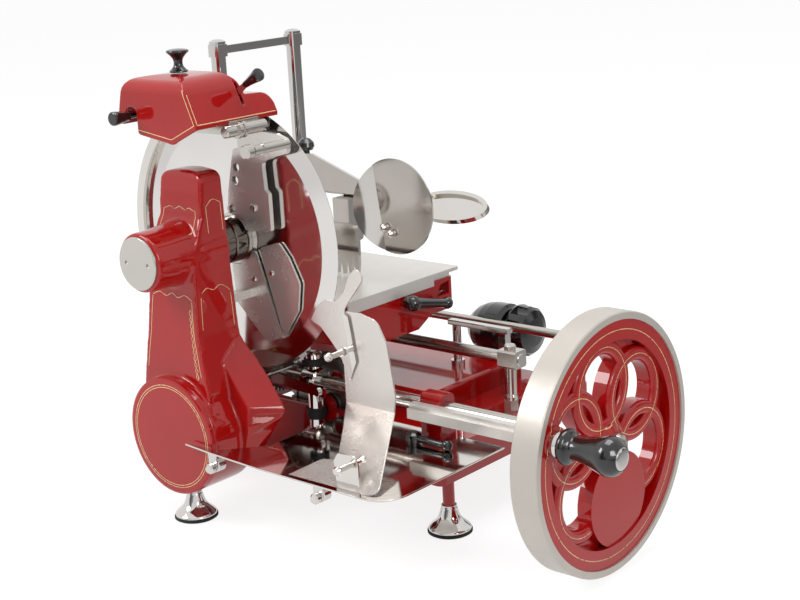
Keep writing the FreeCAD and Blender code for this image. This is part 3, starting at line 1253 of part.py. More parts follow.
def tray_clamps():
    """Two small clips with rollers below the front edge of the tray."""
    clips = []
    for x in TRAY_CLAMP_X:
        y = TRAY_FRONT_Y + 10
        plate = box(x - 5, x + 5, y - 1, y + 1, DECK_Z - 22, DECK_Z)
        clips.append(fuse(plate, rod(5.5, V(x, y - 9, DECK_Z - 15), Y, 8), rod(8.0, V(x, y + 1, DECK_Z - 13), Y, 11)))
    return Part.Compound(clips)


def receiving_plate():
    """Upright plate beside the blade, folded forward along its lower edge onto the tray."""
    y0 = DEFLECT_Y + DEFLECT_T + GAP
    upright = slab_xz([(158, FOLD_Z), (158, 205), (171, 241), (189, 242), (200, 240), (212, 233),
                       (221, 222), (226, 208), (229, 190), (232, FOLD_Z)], y0, y0 + DEFLECT_T)
    low = DECK_Z + TRAY_T
    foot_y = TRAY_FRONT_Y + 8
    corners = [V(158, y0, FOLD_Z), V(232, y0, FOLD_Z), V(306, foot_y, low), V(262, foot_y, low)]
    slope = sheet_between(corners, V(0, DEFLECT_T, 0))
    plate = upright.fuse(slope)
    bore = rod(DEFLECT_PIN_R, V(DEFLECT_PIVOT_X, DEFLECT_Y - 20, DEFLECT_PIVOT_Z), Y, 50)
    return plate.cut(bore).removeSplitter()


def sheet_between(corners, shift):
    """Flat sheet between corners that lie in one plane, thickened by a shift."""
    return Part.Face(Part.makePolygon(corners + [corners[0]])).extrude(shift)


def deflector_plate():
    """Curved plate with a round tab that peels the slice off the blade."""
    outline = [(199, 274), (174, 247), (172, 238), (180, 200), (184, 182), (173, 165), (161, 180), (148, 206),
               (135, 219), (122, 225), (129, 240), (140, 250), (152, 250), (163, 253), (172, 263), (181, 278)]
    plate = slab_xz(outline, DEFLECT_Y, DEFLECT_Y + DEFLECT_T)
    tab = rod(10.5, V(190, DEFLECT_Y, 280), Y, DEFLECT_T)
    flange = sheet_between([V(172, DEFLECT_Y, 238), V(180, DEFLECT_Y, 200), V(184, DEFLECT_Y, 182),
                            V(173, DEFLECT_Y, 165), V(170, DEFLECT_Y, 175), V(176, DEFLECT_Y, 200)],
                           V(0, -9, 0))
    plate = plate.fuse([tab, flange])
    bore = rod(DEFLECT_PIN_R + RUN, V(DEFLECT_PIVOT_X, DEFLECT_Y - 20, DEFLECT_PIVOT_Z), Y, 50)
    return plate.cut(bore).removeSplitter()


def deflector_pin():
    """Pin with ball ends that the curved plate swings on."""
    y0, y1 = DEFLECT_Y - 17, DEFLECT_Y + 12
    pin = rod(DEFLECT_PIN_R, V(DEFLECT_PIVOT_X, y0, DEFLECT_PIVOT_Z), Y, y1 - y0)
    ends = [ball(4.6, V(DEFLECT_PIVOT_X, y, DEFLECT_PIVOT_Z)) for y in (y0, y1)]
    return fuse(pin, *ends)


def tray_bracket():
    """Upright bracket on the tray with a ball-ended cross pin."""
    low = DECK_Z + TRAY_T
    outline = [(226, low), (226, low + 24), (229, low + 31), (236, low + 35), (248, low + 35), (254, low + 30),
               (254, low)]
    plate = slab_xz(outline, -34, -31.5)
    pin = rod(3.0, V(240, -46, low + 26), Y, 38)
    ends = [ball(4.4, V(240, y, low + 26)) for y in (-46, -8)]
    return fuse(plate, pin, *ends)


def base_lever():
    """Black ball-ended lever on the corner of the base."""
    post = turned([(0, 6), (3, 6), (3, 8), (10, 8), (12, 5)],
                  V(LOCK_X, LOCK_Y, DECK_Z + TRAY_T + GAP), Z)
    z = DECK_Z + TRAY_T + 6
    arm = tapered_bar(V(LOCK_X, LOCK_Y, z), V(LOCK_X + 45, LOCK_Y, z), 4.0, 3.2)
    return fuse(post, arm, ball(6.0, V(LOCK_X + 45, LOCK_Y, z)))


# ---- slice thickness dial ------------------------------------------------------------------------
def dial_drum():
    """Black drum housing with a domed left end, round the rear rod."""
    centre = V(DIAL_X0, DIAL_Y, DIAL_Z)
    profile = [(0, 6), (3, 14), (8, 21), (16, 27), (26, 31), (36, DIAL_R), (54, DIAL_R), (56, 29), (58, 27)]
    drum = turned(profile, centre, X)
    drum = drum.cut(rod(REAR_ROD_R, V(DIAL_X0 - 1, REAR_ROD_Y, ROD_Z), X, 60))
    return drum.cut(rod(DIAL_SHAFT_R + RUN, V(DIAL_X0 + 44, KNOB_AXIS_Y, DIAL_Z), X, 15))


def dial_bracket():
    """Bracket between the back of the base and the drum."""
    x0 = DIAL_X0 + 22
    bracket = box(x0, x0 + 28, BASE_Y1 - 17, BASE_Y1, DECK_Z, DIAL_Z)
    return bracket


def base_with_brackets():
    """Base with its cast post foot and brackets, recessed for the drum of the dial."""
    base = fuse(base_casting(), post_foot(), rod_end_brackets(), dial_bracket())
    return base.cut(rod(DIAL_R + RUN, V(DIAL_X0 - 2, DIAL_Y, DIAL_Z), X, 62)).removeSplitter()


def dial_knob():
    """Eight-lobed knob that sets the slice thickness."""
    x0 = DIAL_X0 + 58 + GAP
    centre = V(x0, KNOB_AXIS_Y, DIAL_Z)
    knob = turned([(0, 27), (2, DIAL_KNOB_R - 1), (6, DIAL_KNOB_R), (20, DIAL_KNOB_R - 1), (25, DIAL_KNOB_R - 5),
                   (28, 17), (29, 5)], centre, X)
    for index in range(8):
        angle = 2 * math.pi * (index + 0.5) / 8
        at = centre + V(5, 36 * math.cos(angle), 36 * math.sin(angle))
        knob = knob.cut(rod(10.0, at, X, 30))
    shaft = rod(DIAL_SHAFT_R, V(x0 - GAP - 12, KNOB_AXIS_Y, DIAL_Z), X, 14)
    return knob.fuse(shaft).removeSplitter()


# ---- pieces made from several shapes ---------------------------------------------------------------
def column_bushes():
    """Bronze bushes: two on the blade spindle and two on the cross shaft."""
    return Part.Compound([
        bush(CAVITY_Y0 - 20, CAVITY_Y0, SPINDLE_Z, SPINDLE_R, BUSH_OUT),
        bush(CAVITY_Y1, COLUMN_BACK_Y, SPINDLE_Z, SPINDLE_R, BUSH_OUT),
        bush(CAVITY_Y0 - 12, CAVITY_Y0, CROSS_Z, CROSS_R, CROSS_BUSH_OUT),
        bush(CAVITY_Y1, COLUMN_BACK_Y, CROSS_Z, CROSS_R, CROSS_BUSH_OUT)])


def flywheel_bevel():
    """Bevel gear on the inner end of the flywheel shaft."""
    return bevel_gear(BEVEL_TEETH, APEX, X, Z, FLY_SHAFT_R, 0.0)


def cross_bevel():
    """Bevel gear on the cross shaft, a tooth gap where the other gear has a tooth."""
    return bevel_gear(BEVEL_TEETH, APEX, -Y, Z, CROSS_R, math.pi / BEVEL_TEETH, hub=5.0)


def blade_spindle_with_gear():
    """Blade spindle, its gear and the domed nut on its end."""
    gear = column_gear(SPINDLE_TEETH, SPINDLE_Z, SPINDLE_R, False)
    return fuse(blade_spindle(), gear, blade_nut())


# ---- nodes ----------------------------------------------------------------------------------------
os.makedirs("parts", exist_ok=True)

FIXED_FRAME = {
    "base_casting": base_with_brackets(),
    "levelling_feet": levelling_feet(),
    "foot_pads": foot_pads(),
    "column_housing": column_housing(),
    "gear_case_cover": gear_case_cover(),
    "spindle_cap": spindle_cap(),
    "idler_pins": idler_pins(),
    "column_bushes": column_bushes(),
    "blade_cover_plates": Part.Compound([cover_plate(-1), cover_plate(1), drip_trough()]),
    "blade_guard": blade_guard(),
    "shaft_post": fuse(shaft_post(), oil_cup(), link_bar()),
    "post_rings": post_rings(),
    "shaft_bearing": shaft_block(SHAFT_BLOCK_X, 27.0, DECK_Z),
    "shaft_rail": fuse(shaft_rail(), shaft_block(OUTBOARD_X, 16.0, CROSS_Z - 13)),
    "front_slide_rod": slide_rod(ROD_R, FRONT_ROD_Y, FRONT_ROD_X1),
    "rear_slide_rod": slide_rod(REAR_ROD_R, REAR_ROD_Y, REAR_ROD_X1),
    "rod_post": fuse(rod_post(), rod_screw()),
    "guide_bar": fuse(guide_bar(), guide_bar_pillars()),
    "slice_tray": fuse(slice_tray(), tray_clamps(), tray_bracket()),
    "receiving_plate": fuse(receiving_plate(), deflector_pin()),
    "dial_drum": dial_drum(),
    "sharpener_bracket": fuse(sharpener_bracket(), spindle_nose(), sharpener_base(), upper_pin()),
}

FLYWHEEL_AND_GEARS = {
    "flywheel_rim": flywheel_rim(),
    "flywheel": flywheel_wheel(),
    "flywheel_shaft": fuse(flywheel_shaft(), hub_nut()),
    "flywheel_bevel_gear": flywheel_bevel(),
    "crank_handle_bolt": crank_bolt(),
    "crank_handle_grip": crank_grip(),
    "grip_cap": grip_cap(),
    "cross_shaft": fuse(cross_shaft(), crank_pinion()),
    "lower_gear": column_gear(LOWER_TEETH, CROSS_Z, CROSS_R, True),
    "cross_bevel_gear": cross_bevel(),
    "lower_idler_gear": column_gear(IDLER_TEETH, IDLER_1_Z, IDLER_PIN_R + RUN, False),
    "upper_idler_gear": column_gear(IDLER_TEETH, IDLER_2_Z, IDLER_PIN_R + RUN, True),
    "crank_shaft": fuse(crank_shaft(), crank_gear()),
    "connecting_rod": connecting_rod(),
    "blade": blade(),
    "blade_hub": blade_hub(),
    "blade_spindle": blade_spindle_with_gear(),
}

CARRIAGE_AND_CLAMP = {
    "carriage_body": fuse(carriage_body(), drive_pin()),
    "feed_screw": fuse(feed_screw(), feed_ratchet()),
    "meat_table": fuse(table_plate(), table_slides(), feed_nut()),
    "table_lever": table_lever(),
    "clamp_posts": clamp_posts(),
    "clamp_crossbar": fuse(clamp_crossbar(), post_screws()),
    "clamp_carrier": fuse(clamp_carrier(), clamp_gusset()),
    "clamp_knob": clamp_knob(),
    "meat_comb": meat_comb(),
    "hand_guard": fuse(hand_guard(), guard_nuts()),
    "loop_handle": loop_handle(),
}

SHARPENER_AND_LEVERS = {
    "sharpener_cover": fuse(sharpener_cover(), sharpener_block()),
    "cover_knob": cover_knob(),
    "push_knob": fuse(push_knob(), push_rod()),
    "grinding_stone": grinding_stone(),
    "hone_lever": fuse(hone_lever(), hone_stone()),
    "hone_knob": hone_knob(),
    "deflector_plate": deflector_plate(),
    "base_lever": base_lever(),
    "dial_knob": dial_knob(),
}

for group in (FIXED_FRAME, FLYWHEEL_AND_GEARS, CARRIAGE_AND_CLAMP, SHARPENER_AND_LEVERS):
    for node, shape in group.items():
        export(shape, node)
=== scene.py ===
"""Finishes, pinstripes, small fittings, light and camera for a hand-cranked meat slicer.

Sizes and outlines are real millimetres, turned into metres where a mesh or a material is made. The
stage and its lamps are in metres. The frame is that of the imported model: +Z up, +X along the flywheel
shaft, +Y along the blade spindle.
"""
import json
import logging
import math
from dataclasses import dataclass, field
from enum import Enum
from typing import Iterable, Sequence

import bmesh
import bpy
from mathutils import Matrix, Vector
from mathutils.bvhtree import BVHTree

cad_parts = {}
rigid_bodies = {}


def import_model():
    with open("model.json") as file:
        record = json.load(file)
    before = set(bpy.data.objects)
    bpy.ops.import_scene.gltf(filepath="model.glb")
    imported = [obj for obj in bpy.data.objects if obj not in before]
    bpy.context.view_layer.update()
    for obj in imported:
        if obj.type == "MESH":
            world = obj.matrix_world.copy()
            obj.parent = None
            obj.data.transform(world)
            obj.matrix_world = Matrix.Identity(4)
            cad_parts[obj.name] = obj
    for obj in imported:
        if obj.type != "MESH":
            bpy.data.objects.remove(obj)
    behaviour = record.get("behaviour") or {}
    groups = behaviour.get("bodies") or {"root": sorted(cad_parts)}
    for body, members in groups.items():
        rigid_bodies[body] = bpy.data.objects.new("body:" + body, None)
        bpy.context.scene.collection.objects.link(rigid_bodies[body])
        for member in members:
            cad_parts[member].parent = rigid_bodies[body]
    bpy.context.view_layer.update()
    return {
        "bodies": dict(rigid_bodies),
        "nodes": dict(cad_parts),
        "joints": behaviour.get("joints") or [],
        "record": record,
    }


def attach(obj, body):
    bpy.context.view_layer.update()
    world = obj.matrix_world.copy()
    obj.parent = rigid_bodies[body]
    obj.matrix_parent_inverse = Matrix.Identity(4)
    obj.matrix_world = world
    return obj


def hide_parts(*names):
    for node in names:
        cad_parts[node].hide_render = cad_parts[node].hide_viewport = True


LOG = logging.getLogger("slicer")
MM = 0.001
PROUD = 0.12                # how far a painted line stands off the enamel, in millimetres


def mm(*values: float) -> Vector:
    """Point given in millimetres, as a vector in metres."""
    return Vector(values) * MM


def linear(hex_colour: str) -> tuple[float, float, float, float]:
    """Turn an sRGB hex colour into linear RGBA.

    Args:
        hex_colour: six hex digits, with or without a leading #.

    Returns:
        Linear red, green and blue, and an alpha of 1.
    """
    digits = hex_colour.lstrip("#")
    channels = [int(digits[i:i + 2], 16) / 255 for i in (0, 2, 4)]
    straight = [c / 12.92 if c <= 0.04045 else ((c + 0.055) / 1.055) ** 2.4 for c in channels]
    return (*straight, 1.0)


def add_node(tree: bpy.types.NodeTree, kind: str, links: dict | None = None,
             **settings: object) -> bpy.types.Node:
    """Add one shader node.

    Args:
        tree: node tree that gets the node.
        kind: Blender's type name of the node.
        links: input name or index to a value, or to an output socket to link from.
        **settings: properties of the node itself.

    Returns:
        The new node.
    """
    node = tree.nodes.new(kind)
    for name, value in settings.items():
        setattr(node, name, value)
    for key, value in (links or {}).items():
        if isinstance(value, bpy.types.NodeSocket):
            tree.links.new(value, node.inputs[key])
        else:
            node.inputs[key].default_value = value
    return node


def ramp(tree: bpy.types.NodeTree, value: bpy.types.NodeSocket, span: tuple[float, float],
         result: tuple[float, float], kind: str = "LINEAR") -> bpy.types.NodeSocket:
    """Turn one span of values into another, held at both ends.

    Args:
        tree: node tree that gets the node.
        value: socket that carries the value.
        span: value at the start and at the end of the ramp.
        result: what these two become.
        kind: Blender's name for how the ramp runs between them.

    Returns:
        Socket with the new value.
    """
    made = add_node(tree, "ShaderNodeMapRange", {
        "Value": value, "From Min": span[0], "From Max": span[1],
        "To Min": result[0], "To Max": result[1]}, interpolation_type=kind)
    return made.outputs["Result"]


# ---- finishes ---------------------------------------------------------------------------------
DRIFT_MM = 70.0             # width of the slow patches of tone, about a hand
DRIFT_SPAN = (0.3, 0.7)     # part of the noise that the tone follows
HAZE_MM = 24.0              # width of the patches left by handling and wiping
HAZE_SPAN = (0.35, 0.75)    # part of the noise that the roughness follows


class Grain(Enum):
    """How the surface was made, and so what its fine texture looks like."""

    FLOWED = "flowed"       # sprayed and stoved, levels itself into a faint orange peel
    BUFFED = "buffed"       # polished on a mop, only faint hazy swirls are left
    DRAWN = "drawn"         # long fine lines along one axis
    TURNED = "turned"       # fine rings round an axis
    MOULDED = "moulded"     # pressed in a polished tool
    GRITTY = "gritty"       # bonded grains, cast skin or rubber


@dataclass(frozen=True)
class Finish:
    """One real surface finish and the material that shows it."""

    slot: str
    colour: str
    metallic: float
    roughness: float
    grain: Grain
    grain_mm: float
    bump_mm: float
    tone: float = 0.06
    coat: float = 0.0
    coat_roughness: float = 0.03
    stretch: tuple[float, float, float] = (1.0, 1.0, 1.0)
    specular: float = 0.5

    def material(self) -> bpy.types.Material:
        """Build the node material of this finish.

        Returns:
            The material, named after the slot of the finish.
        """
        made = bpy.data.materials.new(self.slot)
        made.use_nodes = True
        tree = made.node_tree
        tree.nodes.clear()
        place = add_node(tree, "ShaderNodeTexCoord").outputs["Object"]
        shader = add_node(tree, "ShaderNodeBsdfPrincipled", {
            "Base Color": self._colour(tree, place),
            "Roughness": self._roughness(tree, place),
            "Metallic": self.metallic,
            "Specular IOR Level": self.specular,
            "Coat Weight": self.coat,
            "Coat Roughness": self.coat_roughness,
            "Normal": self._bump(tree, place)})
        add_node(tree, "ShaderNodeOutputMaterial", {"Surface": shader.outputs["BSDF"]})
        return made

    def _noise(self, tree: bpy.types.NodeTree, place: bpy.types.NodeSocket, size_mm: float,
               detail: float = 3.0, stretched: bool = False) -> bpy.types.NodeSocket:
        """Noise with features of one size.

        Args:
            tree: node tree that gets the nodes.
            place: socket with the place on the object.
            size_mm: about how wide a feature is.
            detail: how many finer layers are mixed in.
            stretched: whether the features are stretched along the grain.

        Returns:
            Socket with the noise.
        """
        scale = self.stretch if stretched else (1.0, 1.0, 1.0)
        mapped = add_node(tree, "ShaderNodeMapping", {"Vector": place, "Scale": scale})
        noise = add_node(tree, "ShaderNodeTexNoise", {
            "Vector": mapped.outputs["Vector"], "Scale": 1.0 / (size_mm * MM), "Detail": detail})
        return noise.outputs["Fac"]

    def _colour(self, tree: bpy.types.NodeTree, place: bpy.types.NodeSocket) -> bpy.types.NodeSocket:
        """Base colour with a slow drift of tone over a hand's width.

        Args:
            tree: node tree that gets the nodes.
            place: socket with the place on the object.

        Returns:
            Socket with the colour.
        """
        drift = self._noise(tree, place, DRIFT_MM)
        spread = ramp(tree, drift, DRIFT_SPAN, (1.0 - self.tone, 1.0 + self.tone))
        mixed = add_node(tree, "ShaderNodeHueSaturation", {"Color": linear(self.colour), "Value": spread})
        return mixed.outputs["Color"]

    def _roughness(self, tree: bpy.types.NodeTree, place: bpy.types.NodeSocket) -> bpy.types.NodeSocket:
        """Roughness with hazy patches from handling and wiping.

        Args:
            tree: node tree that gets the nodes.
            place: socket with the place on the object.

        Returns:
            Socket with the roughness.
        """
        haze = self._noise(tree, place, HAZE_MM, 4.0)
        handled = self.roughness * 1.35 + 0.01
        return ramp(tree, haze, HAZE_SPAN, (self.roughness, handled))

    def _bump(self, tree: bpy.types.NodeTree, place: bpy.types.NodeSocket) -> bpy.types.NodeSocket:
        """Fine relief of the grain.

        Args:
            tree: node tree that gets the nodes.
            place: socket with the place on the object.

        Returns:
            Socket with the bent normal.
        """
        stretched = self.grain in (Grain.DRAWN, Grain.TURNED)
        height = self._noise(tree, place, self.grain_mm, 2.0, stretched)
        bump = add_node(tree, "ShaderNodeBump", {
            "Strength": 1.0, "Distance": self.bump_mm * MM, "Height": height})
        return bump.outputs["Normal"]


FINISHES: tuple[Finish, ...] = (
    # stoved gloss enamel on cast iron: deep colour under a clear wet-looking skin
    Finish("red_enamel", "#A00A08", 0.0, 0.28, Grain.FLOWED, 6.0, 0.010, 0.05, 1.0, 0.02,
           specular=0.05),
    # machined iron under warm grey lacquer: soft broad highlight
    Finish("machined_iron", "#BDB7AF", 0.35, 0.34, Grain.TURNED, 0.8, 0.010, 0.04,
           stretch=(6.0, 0.6, 0.6)),
    # mop-polished stainless sheet: a slightly hazy mirror
    Finish("polished_steel", "#D6D2CD", 1.0, 0.055, Grain.BUFFED, 30.0, 0.030, 0.03),
    # bright chromium plate: a hard mirror
    Finish("chrome_plate", "#D2CFCC", 1.0, 0.04, Grain.BUFFED, 18.0, 0.012, 0.02),
    # ground bar: fine lines round the bar
    Finish("ground_steel", "#C4C0BA", 1.0, 0.17, Grain.TURNED, 0.9, 0.012, 0.04,
           stretch=(7.0, 0.5, 0.5)),
    # polished knife steel
    Finish("blade_steel", "#D9D6D3", 1.0, 0.075, Grain.BUFFED, 22.0, 0.018, 0.03),
    # milled and anodised aluminium: pale satin with lines along the cut
    Finish("brushed_aluminium", "#DAD7D2", 0.6, 0.32, Grain.DRAWN, 1.0, 0.016, 0.04,
           stretch=(0.15, 4.0, 4.0)),
    # cut and oiled gear steel: darker, with a soft sheen
    Finish("gear_steel", "#8E8A85", 1.0, 0.32, Grain.TURNED, 1.2, 0.02, 0.08),
    # moulded phenolic: black and wet-looking
    Finish("black_bakelite", "#0C0C0D", 0.0, 0.16, Grain.MOULDED, 9.0, 0.010, 0.10, 0.6, 0.05),
    # moulded rubber: dull black
    Finish("black_rubber", "#151515", 0.0, 0.65, Grain.GRITTY, 1.2, 0.05, 0.10),
    # sintered bronze bush
    Finish("bronze", "#B08A4A", 1.0, 0.30, Grain.TURNED, 0.8, 0.02, 0.06),
    # bonded abrasive
    Finish("stone", "#7C746A", 0.0, 0.85, Grain.GRITTY, 0.9, 0.12, 0.12),
)

# signwriter's enamel, laid on by brush over the gloss: cream with a warm cast
STRIPE_PAINT = Finish("cream_line", "#E9BD86", 0.0, 0.35, Grain.FLOWED, 4.0, 0.008, 0.05, 0.8, 0.05)

# stainless sheet polished along its length and not mirrored: pale, with blurred reflections
SATIN_SHEET = Finish("satin_sheet", "#D6D1CC", 0.75, 0.22, Grain.BUFFED, 40.0, 0.005, 0.03)

# turned bar left dark from the lathe and polished: bright bands on a brown-grey ground
DARK_BAR = Finish("dark_bar", "#77706B", 1.0, 0.12, Grain.TURNED, 0.9, 0.01, 0.04, stretch=(0.6, 7.0, 0.6))


@dataclass
class PaintShop:
    """Makes every finish once and hands them out by slot."""

    made: dict[str, bpy.types.Material] = field(default_factory=dict)

    def mix(self) -> None:
        """Build all materials."""
        for finish in (*FINISHES, STRIPE_PAINT, SATIN_SHEET, DARK_BAR):
            self.made[finish.slot] = finish.material()
            LOG.info("finish %s", finish.slot)

    def dress(self, obj: bpy.types.Object, slot: str) -> None:
        """Give an object one finish all over.

        Args:
            obj: object to dress.
            slot: slot of the finish.
        """
        if obj.material_slots:
            for entry in obj.material_slots:
                entry.material = self.made[slot]
        else:
            obj.data.materials.append(self.made[slot])


# ---- mesh helpers --------------------------------------------------------------------------------
Flat = tuple[float, float]
SMOOTH_UNDER = 32           # degrees between two faces that are shaded as one surface
EASED_OVER = 38             # degrees between two faces whose corner gets a bevel
LARGE_FACE_WEIGHT = 80      # how far the large faces set the shading of a bevelled corner


class Plane(Enum):
    """The two axes that an outline is drawn in; the third is the one it is pushed along."""

    XZ = (0, 2, 1)
    YZ = (1, 2, 0)
    XY = (0, 1, 2)

    def place(self, u: float, v: float, w: float) -> Vector:
        """Turn two outline values and a depth into a point.

        Args:
            u: value along the first axis of the outline, in millimetres.
            v: value along its second axis.
            w: depth along the third axis.

        Returns:
            The point in metres.
        """
        spot = [0.0, 0.0, 0.0]
        for axis, value in zip(self.value, (u, v, w)):
            spot[axis] = value * MM
        return Vector(spot)


def arc_through(start: Flat, via: Flat, end: Flat, steps: int = 14) -> list[Flat]:
    """Points along the arc from start through via to end, without the start.

    Args:
        start: first point, already in the outline.
        via: a point that the arc passes.
        end: last point of the arc.
        steps: how many points to give back.

    Returns:
        The points in order, the last one being end.
    """
    a, b, c = Vector(start), Vector(via), Vector(end)
    cross = 2 * ((b - a).x * (c - a).y - (b - a).y * (c - a).x)
    ab, ac = (b - a).length_squared, (c - a).length_squared
    centre = a + Vector(((c - a).y * ab - (b - a).y * ac, (b - a).x * ac - (c - a).x * ab)) / cross
    radius = (a - centre).length
    first, last = (math.atan2(*reversed((p - centre)[:])) for p in (a, c))
    sweep = (last - first) % math.tau
    if cross < 0:
        sweep -= math.tau
    angles = [first + sweep * i / steps for i in range(1, steps + 1)]
    return [(centre.x + radius * math.cos(t), centre.y + radius * math.sin(t)) for t in angles]


def outline(*steps: tuple) -> list[Flat]:
    """Outline from points and arcs.

    Args:
        *steps: points and arcs; an arc is a pair of points, the one it passes and its end.

    Returns:
        The points in order.
    """
    points: list[Flat] = [steps[0]]
    for step in steps[1:]:
        if isinstance(step[0], tuple):
            points += arc_through(points[-1], step[0], step[1])
        else:
            points.append(step)
    return points


def rounded(corners: Sequence[tuple], steps: int = 6) -> list[Flat]:
    """Closed outline with rounded corners.

    Args:
        corners: (u, v, radius) of each corner; a corner without a radius stays sharp.
        steps: pieces of a rounded corner.

    Returns:
        The points in order.
    """
    points: list[Flat] = []
    for before, here, after in zip([corners[-1], *corners[:-1]], corners, [*corners[1:], corners[0]]):
        spot = Vector(here[:2])
        if len(here) == 2:
            points.append((spot.x, spot.y))
            continue
        into, away = ((Vector(p[:2]) - spot) for p in (before, after))
        half = into.angle(away) / 2
        back = min(here[2] / math.tan(half), 0.49 * into.length, 0.49 * away.length)
        start, end = spot + into.normalized() * back, spot + away.normalized() * back
        for i in range(steps + 1):
            t = i / steps
            bent = start * (1 - t) ** 2 + spot * 2 * t * (1 - t) + end * t * t
            points.append((bent.x, bent.y))
    return points


def flowing(points: Sequence[Flat], steps: int = 6) -> list[Flat]:
    """Smooth curve through the points, by Catmull and Rom's rule.

    Args:
        points: points that the curve passes.
        steps: pieces of the curve between two of them.

    Returns:
        The points of the curve in order.
    """
    ends = [points[0], *points, points[-1]]
    smooth: list[Flat] = []
    for a, b, c, d in zip(ends, ends[1:], ends[2:], ends[3:]):
        for i in range(steps):
            t = i / steps
            smooth.append(tuple(0.5 * (2 * q + (r - p) * t + (2 * p - 5 * q + 4 * r - s) * t * t
                                       + (3 * q - p - 3 * r + s) * t ** 3)
                                for p, q, r, s in zip(a, b, c, d)))
    return [*smooth, tuple(points[-1])]


def shifted(points: Iterable[Flat], by: Flat) -> list[Flat]:
    """Outline moved along both its axes."""
    return [(u + by[0], v + by[1]) for u, v in points]


def from_bmesh(name: str, shape: bmesh.types.BMesh) -> bpy.types.Object:
    """Object from a finished bmesh, its faces turned outwards.

    Args:
        name: name of the piece.
        shape: the bmesh, which is used up.

    Returns:
        The object.
    """
    bmesh.ops.recalc_face_normals(shape, faces=shape.faces)
    mesh = bpy.data.meshes.new(name)
    shape.to_mesh(mesh)
    shape.free()
    return new_piece(name, mesh)


def loft(name: str, rings: Sequence[Sequence[Vector]]) -> bpy.types.Object:
    """Closed solid through rings of as many points each, with flat ends.

    Args:
        name: name of the piece.
        rings: points of each ring in metres, from one end to the other.

    Returns:
        The object.
    """
    shape = bmesh.new()
    rows = [[shape.verts.new(point) for point in ring] for ring in rings]
    for low, high in zip(rows, rows[1:]):
        for i in range(len(low)):
            j = (i + 1) % len(low)
            shape.faces.new((low[i], low[j], high[j], high[i]))
    shape.faces.new(rows[0])
    shape.faces.new(rows[-1])
    return from_bmesh(name, shape)


def slab(name: str, points: Sequence[Flat], plane: Plane, low: float, high: float) -> bpy.types.Object:
    """Flat piece with an outline, between two depths in millimetres."""
    return loft(name, [[plane.place(u, v, depth) for u, v in points] for depth in (low, high)])


def block(name: str, low: Sequence[float], high: Sequence[float]) -> bpy.types.Object:
    """Block between two corners in millimetres."""
    (x0, y0, z0), (x1, y1, z1) = low, high
    return slab(name, [(x0, y0), (x1, y0), (x1, y1), (x0, y1)], Plane.XY, z0, z1)


def lathe(name: str, profile: Sequence[Flat], start: Sequence[float], axis: Sequence[float],
          around: int = 72) -> bpy.types.Object:
    """Turned solid.

    Args:
        name: name of the piece.
        profile: (distance along the axis, radius) in millimetres, from the near end to the far one.
        start: point on the axis where the distance is nought, in millimetres.
        axis: direction of the axis.
        around: number of steps round the axis.

    Returns:
        The turned object, shaded smooth except at its corners.
    """
    turn = Vector((0, 0, 1)).rotation_difference(Vector(axis).normalized()).to_matrix()
    rings = []
    for along, radius in profile:
        angles = [math.tau * i / around for i in range(around)]
        rings.append([mm(*start) + turn @ mm(max(radius, 0.05) * math.cos(a),
                                             max(radius, 0.05) * math.sin(a), along) for a in angles])
    made = loft(name, rings)
    smooth_by_angle(made, SMOOTH_UNDER)
    return made


def cylinder(name: str, radius: float, length: float, start: Sequence[float], axis: Sequence[float],
             around: int = 48) -> bpy.types.Object:
    """Plain round bar."""
    return lathe(name, [(0, 0), (0, radius), (length, radius), (length, 0)], start, axis, around)


def bake(obj: bpy.types.Object) -> bpy.types.Object:
    """Make the modifiers of an object part of its mesh.

    Args:
        obj: object with modifiers.

    Returns:
        The same object, without them.
    """
    evaluated = obj.evaluated_get(bpy.context.evaluated_depsgraph_get())
    mesh = bpy.data.meshes.new_from_object(evaluated)
    obj.modifiers.clear()
    obj.data = mesh
    return obj


def combine(target: bpy.types.Object, tools: Iterable[bpy.types.Object],
            how: str = "DIFFERENCE") -> bpy.types.Object:
    """Cut, join or cross an object with others.

    Args:
        target: object that is changed.
        tools: objects it is combined with, which are used up.
        how: Blender's name of the operation.

    Returns:
        The target.
    """
    for tool in tools:
        step = target.modifiers.new("combine", "BOOLEAN")
        step.operation = how
        step.solver = "EXACT"
        step.object = tool
        bake(target)
        bpy.data.objects.remove(tool)
    return target


def gather(name: str, parts: Sequence[bpy.types.Object]) -> bpy.types.Object:
    """One object from several that keep their own shapes.

    Args:
        name: name of the piece.
        parts: the objects, which are used up.

    Returns:
        The new object.
    """
    shape = bmesh.new()
    for part in parts:
        shape.from_mesh(part.data)
        bpy.data.objects.remove(part)
    mesh = bpy.data.meshes.new(name)
    shape.to_mesh(mesh)
    shape.free()
    return new_piece(name, mesh)


def as_cast(obj: bpy.types.Object, grid_mm: float, passes: int) -> bpy.types.Object:
    """Melt an object's solids into one skin with the soft corners of a casting under enamel.

    Args:
        obj: object to melt.
        grid_mm: size of the grid that the skin is made on.
        passes: how often the skin is smoothed.

    Returns:
        The same object.
    """
    remesh = obj.modifiers.new("skin", "REMESH")
    remesh.mode = "VOXEL"
    remesh.voxel_size = grid_mm * MM
    soften = obj.modifiers.new("soften", "SMOOTH")
    soften.factor = 0.5
    soften.iterations = passes
    bake(obj)
    obj.data.shade_smooth()
    return obj


